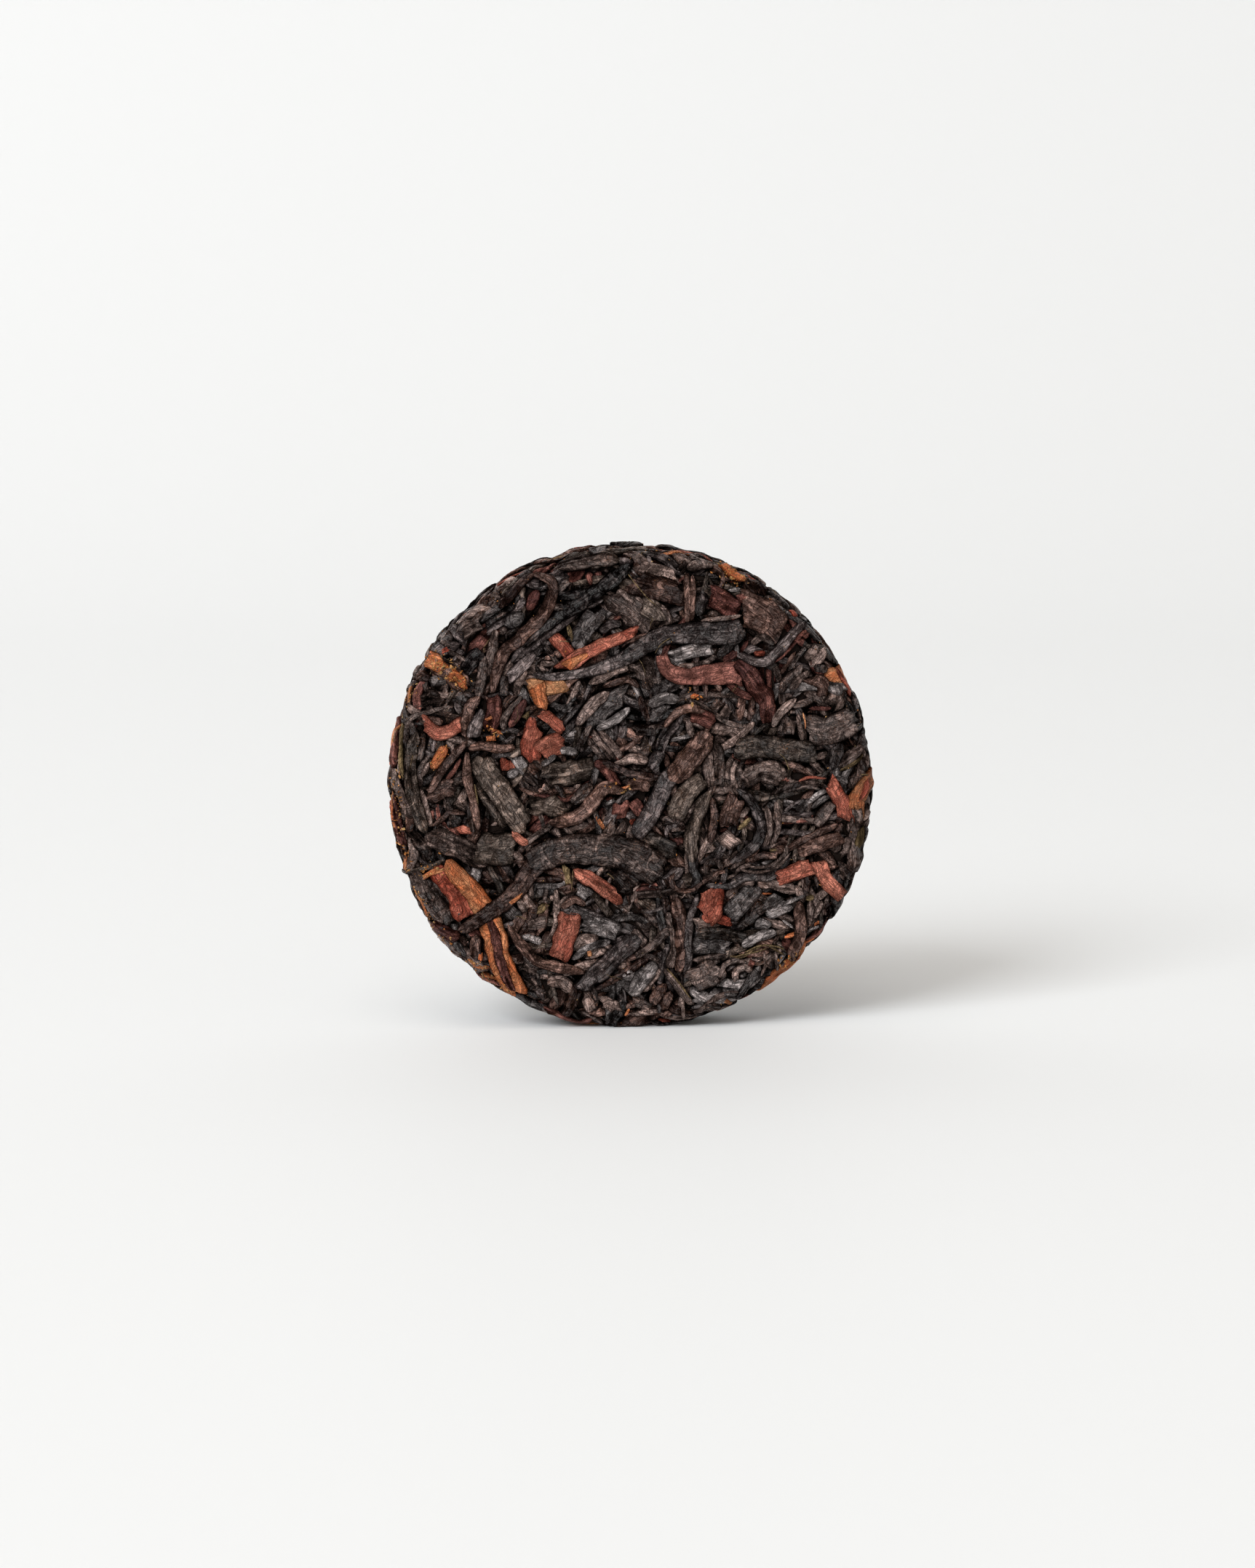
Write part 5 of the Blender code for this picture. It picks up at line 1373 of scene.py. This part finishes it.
def leaf_finish(name, light, dark, roughness, gloss=0.3, dusty=0.45, depth=1.0):
    """A dry leaf in two tones. Depth is how much painted shade darkens its creases."""
    material = bpy.data.materials.new(name)
    material.use_nodes = True
    tree = material.node_tree
    shader = tree.nodes["Principled BSDF"]
    marks = add(tree, "Attribute", {}, attribute_name="leaf")
    mark = add(tree, "SeparateColor", {0: marks})
    place = add(tree, "VectorMath", {0: add(tree, "TexCoord", {}).outputs["Object"],
                                     "Scale": 1 / MM}, operation="SCALE")
    along_leaf = add(tree, "VectorMath", {0: add(tree, "UVMap", {}, uv_map="grain"),
                                          1: (1 / VEIN_ALONG, 1 / VEIN_ACROSS, 1)}, operation="MULTIPLY")
    streak, veins = creases(tree, along_leaf, 1.0, 16)
    wrinkle, folds = creases(tree, place, 1 / WRINKLE, 12)
    mottle = add(tree, "TexNoise", {"Vector": place, "Scale": 1 / MOTTLE, "Detail": 5.0})
    speck = add(tree, "TexNoise", {"Vector": place, "Scale": 1 / SPECK, "Detail": 2.0})

    lean = weigh(tree, (streak, 0.6), (wrinkle, 0.8), (mottle, 0.8), (speck, 0.7),
                 (marks.outputs["Alpha"], 0.6))
    tone = add(tree, "MapRange", {"Value": lean, "From Min": 1.3, "From Max": 2.1})
    tone = add(tree, "Math", {0: tone, 1: TONE_CURVE}, operation="POWER")
    leaf = add(tree, "Mix", {0: tone, 6: colour(dark), 7: colour(light)}, data_type="RGBA")
    spots = add(tree, "MapRange", {"Value": weigh(tree, (speck, 1.0), (mottle, 1.0)),
                                   "From Min": 1.12, "From Max": 1.3, "To Max": dusty})
    dusted = add(tree, "Mix", {0: spots, 6: leaf.outputs[2], 7: colour(DUST)}, data_type="RGBA")
    # painted shade: the colour is darkened by the relief and crevice shadow (green), in the fine veins and
    # folds, and towards each leaf's edge (blue)
    free = add(tree, "Math", {0: 1.0, 1: mark.outputs["Blue"]}, operation="SUBTRACT")
    relief = times(tree, (mark.outputs["Green"], max(0.02, 1 - 1.45 * depth)), (veins, 1 - 0.45 * depth),
                   (folds, 1 - 0.55 * depth), (free, 0.10))
    shade = add(tree, "Math", {0: relief, 1: mark.outputs["Red"]}, operation="MULTIPLY")
    shaded = add(tree, "VectorMath", {0: dusted.outputs[2], "Scale": shade}, operation="SCALE")
    tree.links.new(shaded.outputs[0], shader.inputs["Base Color"])

    dull = add(tree, "MapRange", {"Value": relief, "To Min": 0.8, "To Max": roughness})
    tree.links.new(dull.outputs[0], shader.inputs["Roughness"])
    shine = add(tree, "MapRange", {"Value": relief, "From Min": 0.25, "From Max": 0.8,
                                   "To Max": gloss})
    tree.links.new(shine.outputs[0], shader.inputs["Specular IOR Level"])
    height = weigh(tree, (folds, 1.0), (veins, 1.3), (speck, 1.0), (wrinkle, 1.4))
    bump = add(tree, "Bump", {"Height": height, "Distance": 0.3 * MM})
    tree.links.new(bump.outputs[0], shader.inputs["Normal"])
    return material


# Dark leaf, the most common; its ridges stay paler than its creases, which get painted shade.
dark_leaf = leaf_finish("dark pressed leaf", "#dab8ac", "#291c19", 0.35, 0.80, 0.7)
# Smooth black leaf with a cool sheen.
black_leaf = leaf_finish("black rolled leaf", "#a6928f", "#1c1616", 0.30, 0.95, 0.3)
# Grey side of an opened leaf.
slate_leaf = leaf_finish("slate grey leaf", "#d9cac7", "#423735", 0.32, 0.90, 0.35)
# Warm brown stalks and folded leaf.
brown_leaf = leaf_finish("brown stalk and leaf", "#c79888", "#36211d", 0.37, 0.65, 0.7)
# Dull greenish brown old leaf.
olive_leaf = leaf_finish("olive brown leaf", "#b39a8c", "#29201c", 0.38, 0.60, 0.6)
# Dark red-brown leaf.
maroon_leaf = leaf_finish("maroon leaf", "#db8f80", "#603530", 0.44, 0.30, 0.3, 0.7)
# Brick red leaf.
red_leaf = leaf_finish("brick red leaf", "#ffa086", "#bc5641", 0.46, 0.25, 0.3, 0.55)
# Orange flesh of peeled stalks and torn leaf.
orange_leaf = leaf_finish("orange torn leaf", "#ffb884", "#f0804a", 0.52, 0.25, 0.25, 0.35)
# Rusty yellow crumbs of the same flesh.
rust_crumb = leaf_finish("rusty leaf crumbs", "#ffd08c", "#e89048", 0.60, 0.20, 0.15, 0.2)
# Dry straw-coloured fibre.
straw_leaf = leaf_finish("straw fibre", "#b89c72", "#7a6448", 0.65, 0.2, 0.2, 0.6)
print("leaf finishes:", [m.name for m in bpy.data.materials])

# %% The bed's finish
# Leaf dust: matt and crumbly, and near black: its own dark colour, deepened as painted shade for the pits
# between leaves.
bed_finish = bpy.data.materials.new("leaf dust")
bed_finish.use_nodes = True
bed_tree = bed_finish.node_tree
bed_shader = bed_tree.nodes["Principled BSDF"]
bed_shader.inputs["Roughness"].default_value = 0.85
bed_shader.inputs["Specular IOR Level"].default_value = 0.1
bed_place = add(bed_tree, "VectorMath", {0: add(bed_tree, "TexCoord", {}).outputs["Object"],
                                         "Scale": 1 / MM}, operation="SCALE")
grit = add(bed_tree, "TexNoise", {"Vector": bed_place, "Scale": 2.4, "Detail": 5.0})
# partly painted shade: the dust is nearly black so that the pits between leaves read as deep shade
dust_tone_and_pit_shade = add(bed_tree, "Mix", {0: grit, 6: colour("#060505"), 7: colour("#231812")},
                data_type="RGBA")
bed_tree.links.new(dust_tone_and_pit_shade.outputs[2], bed_shader.inputs["Base Color"])
bed_bump = add(bed_tree, "Bump", {"Height": grit, "Distance": 0.2 * MM})
bed_tree.links.new(bed_bump.outputs[0], bed_shader.inputs["Normal"])
print("nodes of the leaf dust:", len(bed_tree.nodes))

# %% Hang every piece on the frame
FINISH_OF = {"dark": (dark_leaf, "dark_leaf"), "black": (black_leaf, "dark_leaf"),
             "slate": (slate_leaf, "slate_leaf"),
             "brown": (brown_leaf, "brown_leaf"), "olive": (olive_leaf, "brown_leaf"),
             "maroon": (maroon_leaf, "red_leaf"), "red": (red_leaf, "red_leaf"),
             "orange": (orange_leaf, "orange_leaf"), "rust": (rust_crumb, "orange_leaf"),
             "straw": (straw_leaf, "straw_fibre")}
for name, piece in pieces.items():
    material, slot = FINISH_OF[name.split("_")[1]]
    piece.data.materials.append(material)
    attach(piece, "root")
bed.data.materials.append(bed_finish)
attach(bed, "root")
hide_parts("tea_cake")
print("pieces:", len(pieces) + 1)

# %% [markdown]
# ## The studio
#
# The cake stands on a pale matt sheet that sweeps up behind it, so there is no horizon. One large
# soft light stands in front of it to the left and throws its shadow to the right. A weaker one
# overhead and a dim, warm room fill the shadows.

# %% The sheet
SWEEP_START, SWEEP_RADIUS = 0.35, 0.45  # in metres, behind the cake


def swept(distance):
    """(y, z) of the sheet a distance along it from the cake: flat, an arc, then upright."""
    turn = min(max((distance - SWEEP_START) / SWEEP_RADIUS, 0), math.pi / 2)
    beyond = max(distance - SWEEP_START - SWEEP_RADIUS * math.pi / 2, 0)
    y = min(distance, SWEEP_START) + SWEEP_RADIUS * math.sin(turn)
    return y, SWEEP_RADIUS * (1 - math.cos(turn)) + beyond


sheet_grid = bmesh.new()
bmesh.ops.create_grid(sheet_grid, x_segments=2, y_segments=120, size=2.0)
for vert in sheet_grid.verts:
    vert.co.y, vert.co.z = swept(vert.co.y)
sheet_mesh = bpy.data.meshes.new("studio_sheet")
sheet_grid.to_mesh(sheet_mesh)
sheet_grid.free()
sheet_mesh.shade_smooth()
sheet = bpy.data.objects.new("studio_sheet", sheet_mesh)
bpy.context.collection.objects.link(sheet)
paper = bpy.data.materials.new("pale studio sheet")
paper.use_nodes = True
paper_shader = paper.node_tree.nodes["Principled BSDF"]
paper_shader.inputs["Base Color"].default_value = colour("#e3e5e6")
paper_shader.inputs["Roughness"].default_value = 0.55
paper_shader.inputs["Specular IOR Level"].default_value = 0.05
sheet_mesh.materials.append(paper)
print("sheet:", len(sheet_mesh.polygons), "faces")

# %% Light
def add_light(name, azimuth, elevation, distance, size, power, tint):
    """A square soft light that faces the cake. Azimuth 0 is in front of it, 90 to its right."""
    lamp = bpy.data.lights.new(name, "AREA")
    lamp.energy, lamp.size, lamp.color = power, size, colour(tint)[:3]
    light = bpy.data.objects.new(name, lamp)
    bpy.context.collection.objects.link(light)
    turn, lift = math.radians(azimuth), math.radians(elevation)
    light.location = (distance * math.sin(turn) * math.cos(lift),
                      -distance * math.cos(turn) * math.cos(lift), distance * math.sin(lift) + 0.02)
    light.rotation_euler = (math.pi / 2 - lift, 0, turn)


add_light("key light", -44, 36, 3.2, 1.5, 84, "#f9fcff")
add_light("overhead light", -25, 68, 2.2, 1.8, 20, "#fff9f2")
world = bpy.data.worlds.new("soft room")
world.use_nodes = True
world.node_tree.nodes["Background"].inputs["Color"].default_value = colour("#fff4e9")
world.node_tree.nodes["Background"].inputs["Strength"].default_value = 0.29
bpy.context.scene.world = world
bpy.context.scene.view_settings.view_transform = "Standard"
print("lights:", [light.name for light in bpy.data.lights])

# %% Camera
FRAME_HEIGHT = 177.7  # what the picture shows from top to bottom at the cake, in millimetres
SENSOR = 36.0  # longer side of the sensor
AIM_RIGHT, AIM_UP = -0.29, 0.16  # where the camera points, from the middle of the cake
lens = bpy.data.cameras.new("camera")
lens.lens = SENSOR * CAMERA_DISTANCE / FRAME_HEIGHT
camera = bpy.data.objects.new("camera", lens)
bpy.context.collection.objects.link(camera)
aim = np.array([0, 0, CENTRE_HEIGHT]) + AIM_RIGHT * RIGHT + AIM_UP * UPWARD
camera.location = (aim + CAMERA_DISTANCE * TOWARDS) * MM
camera.rotation_euler = (math.pi / 2 - ELEVATION, 0, AZIMUTH)
bpy.context.scene.camera = camera
print("lens:", round(lens.lens, 1), "mm")

# %% [markdown]
# The last cell prints the size of the imported model once more.

# %% Finish
print("cad:", [round(s / MM, 2) for s in cad_high - cad_low], "mm")
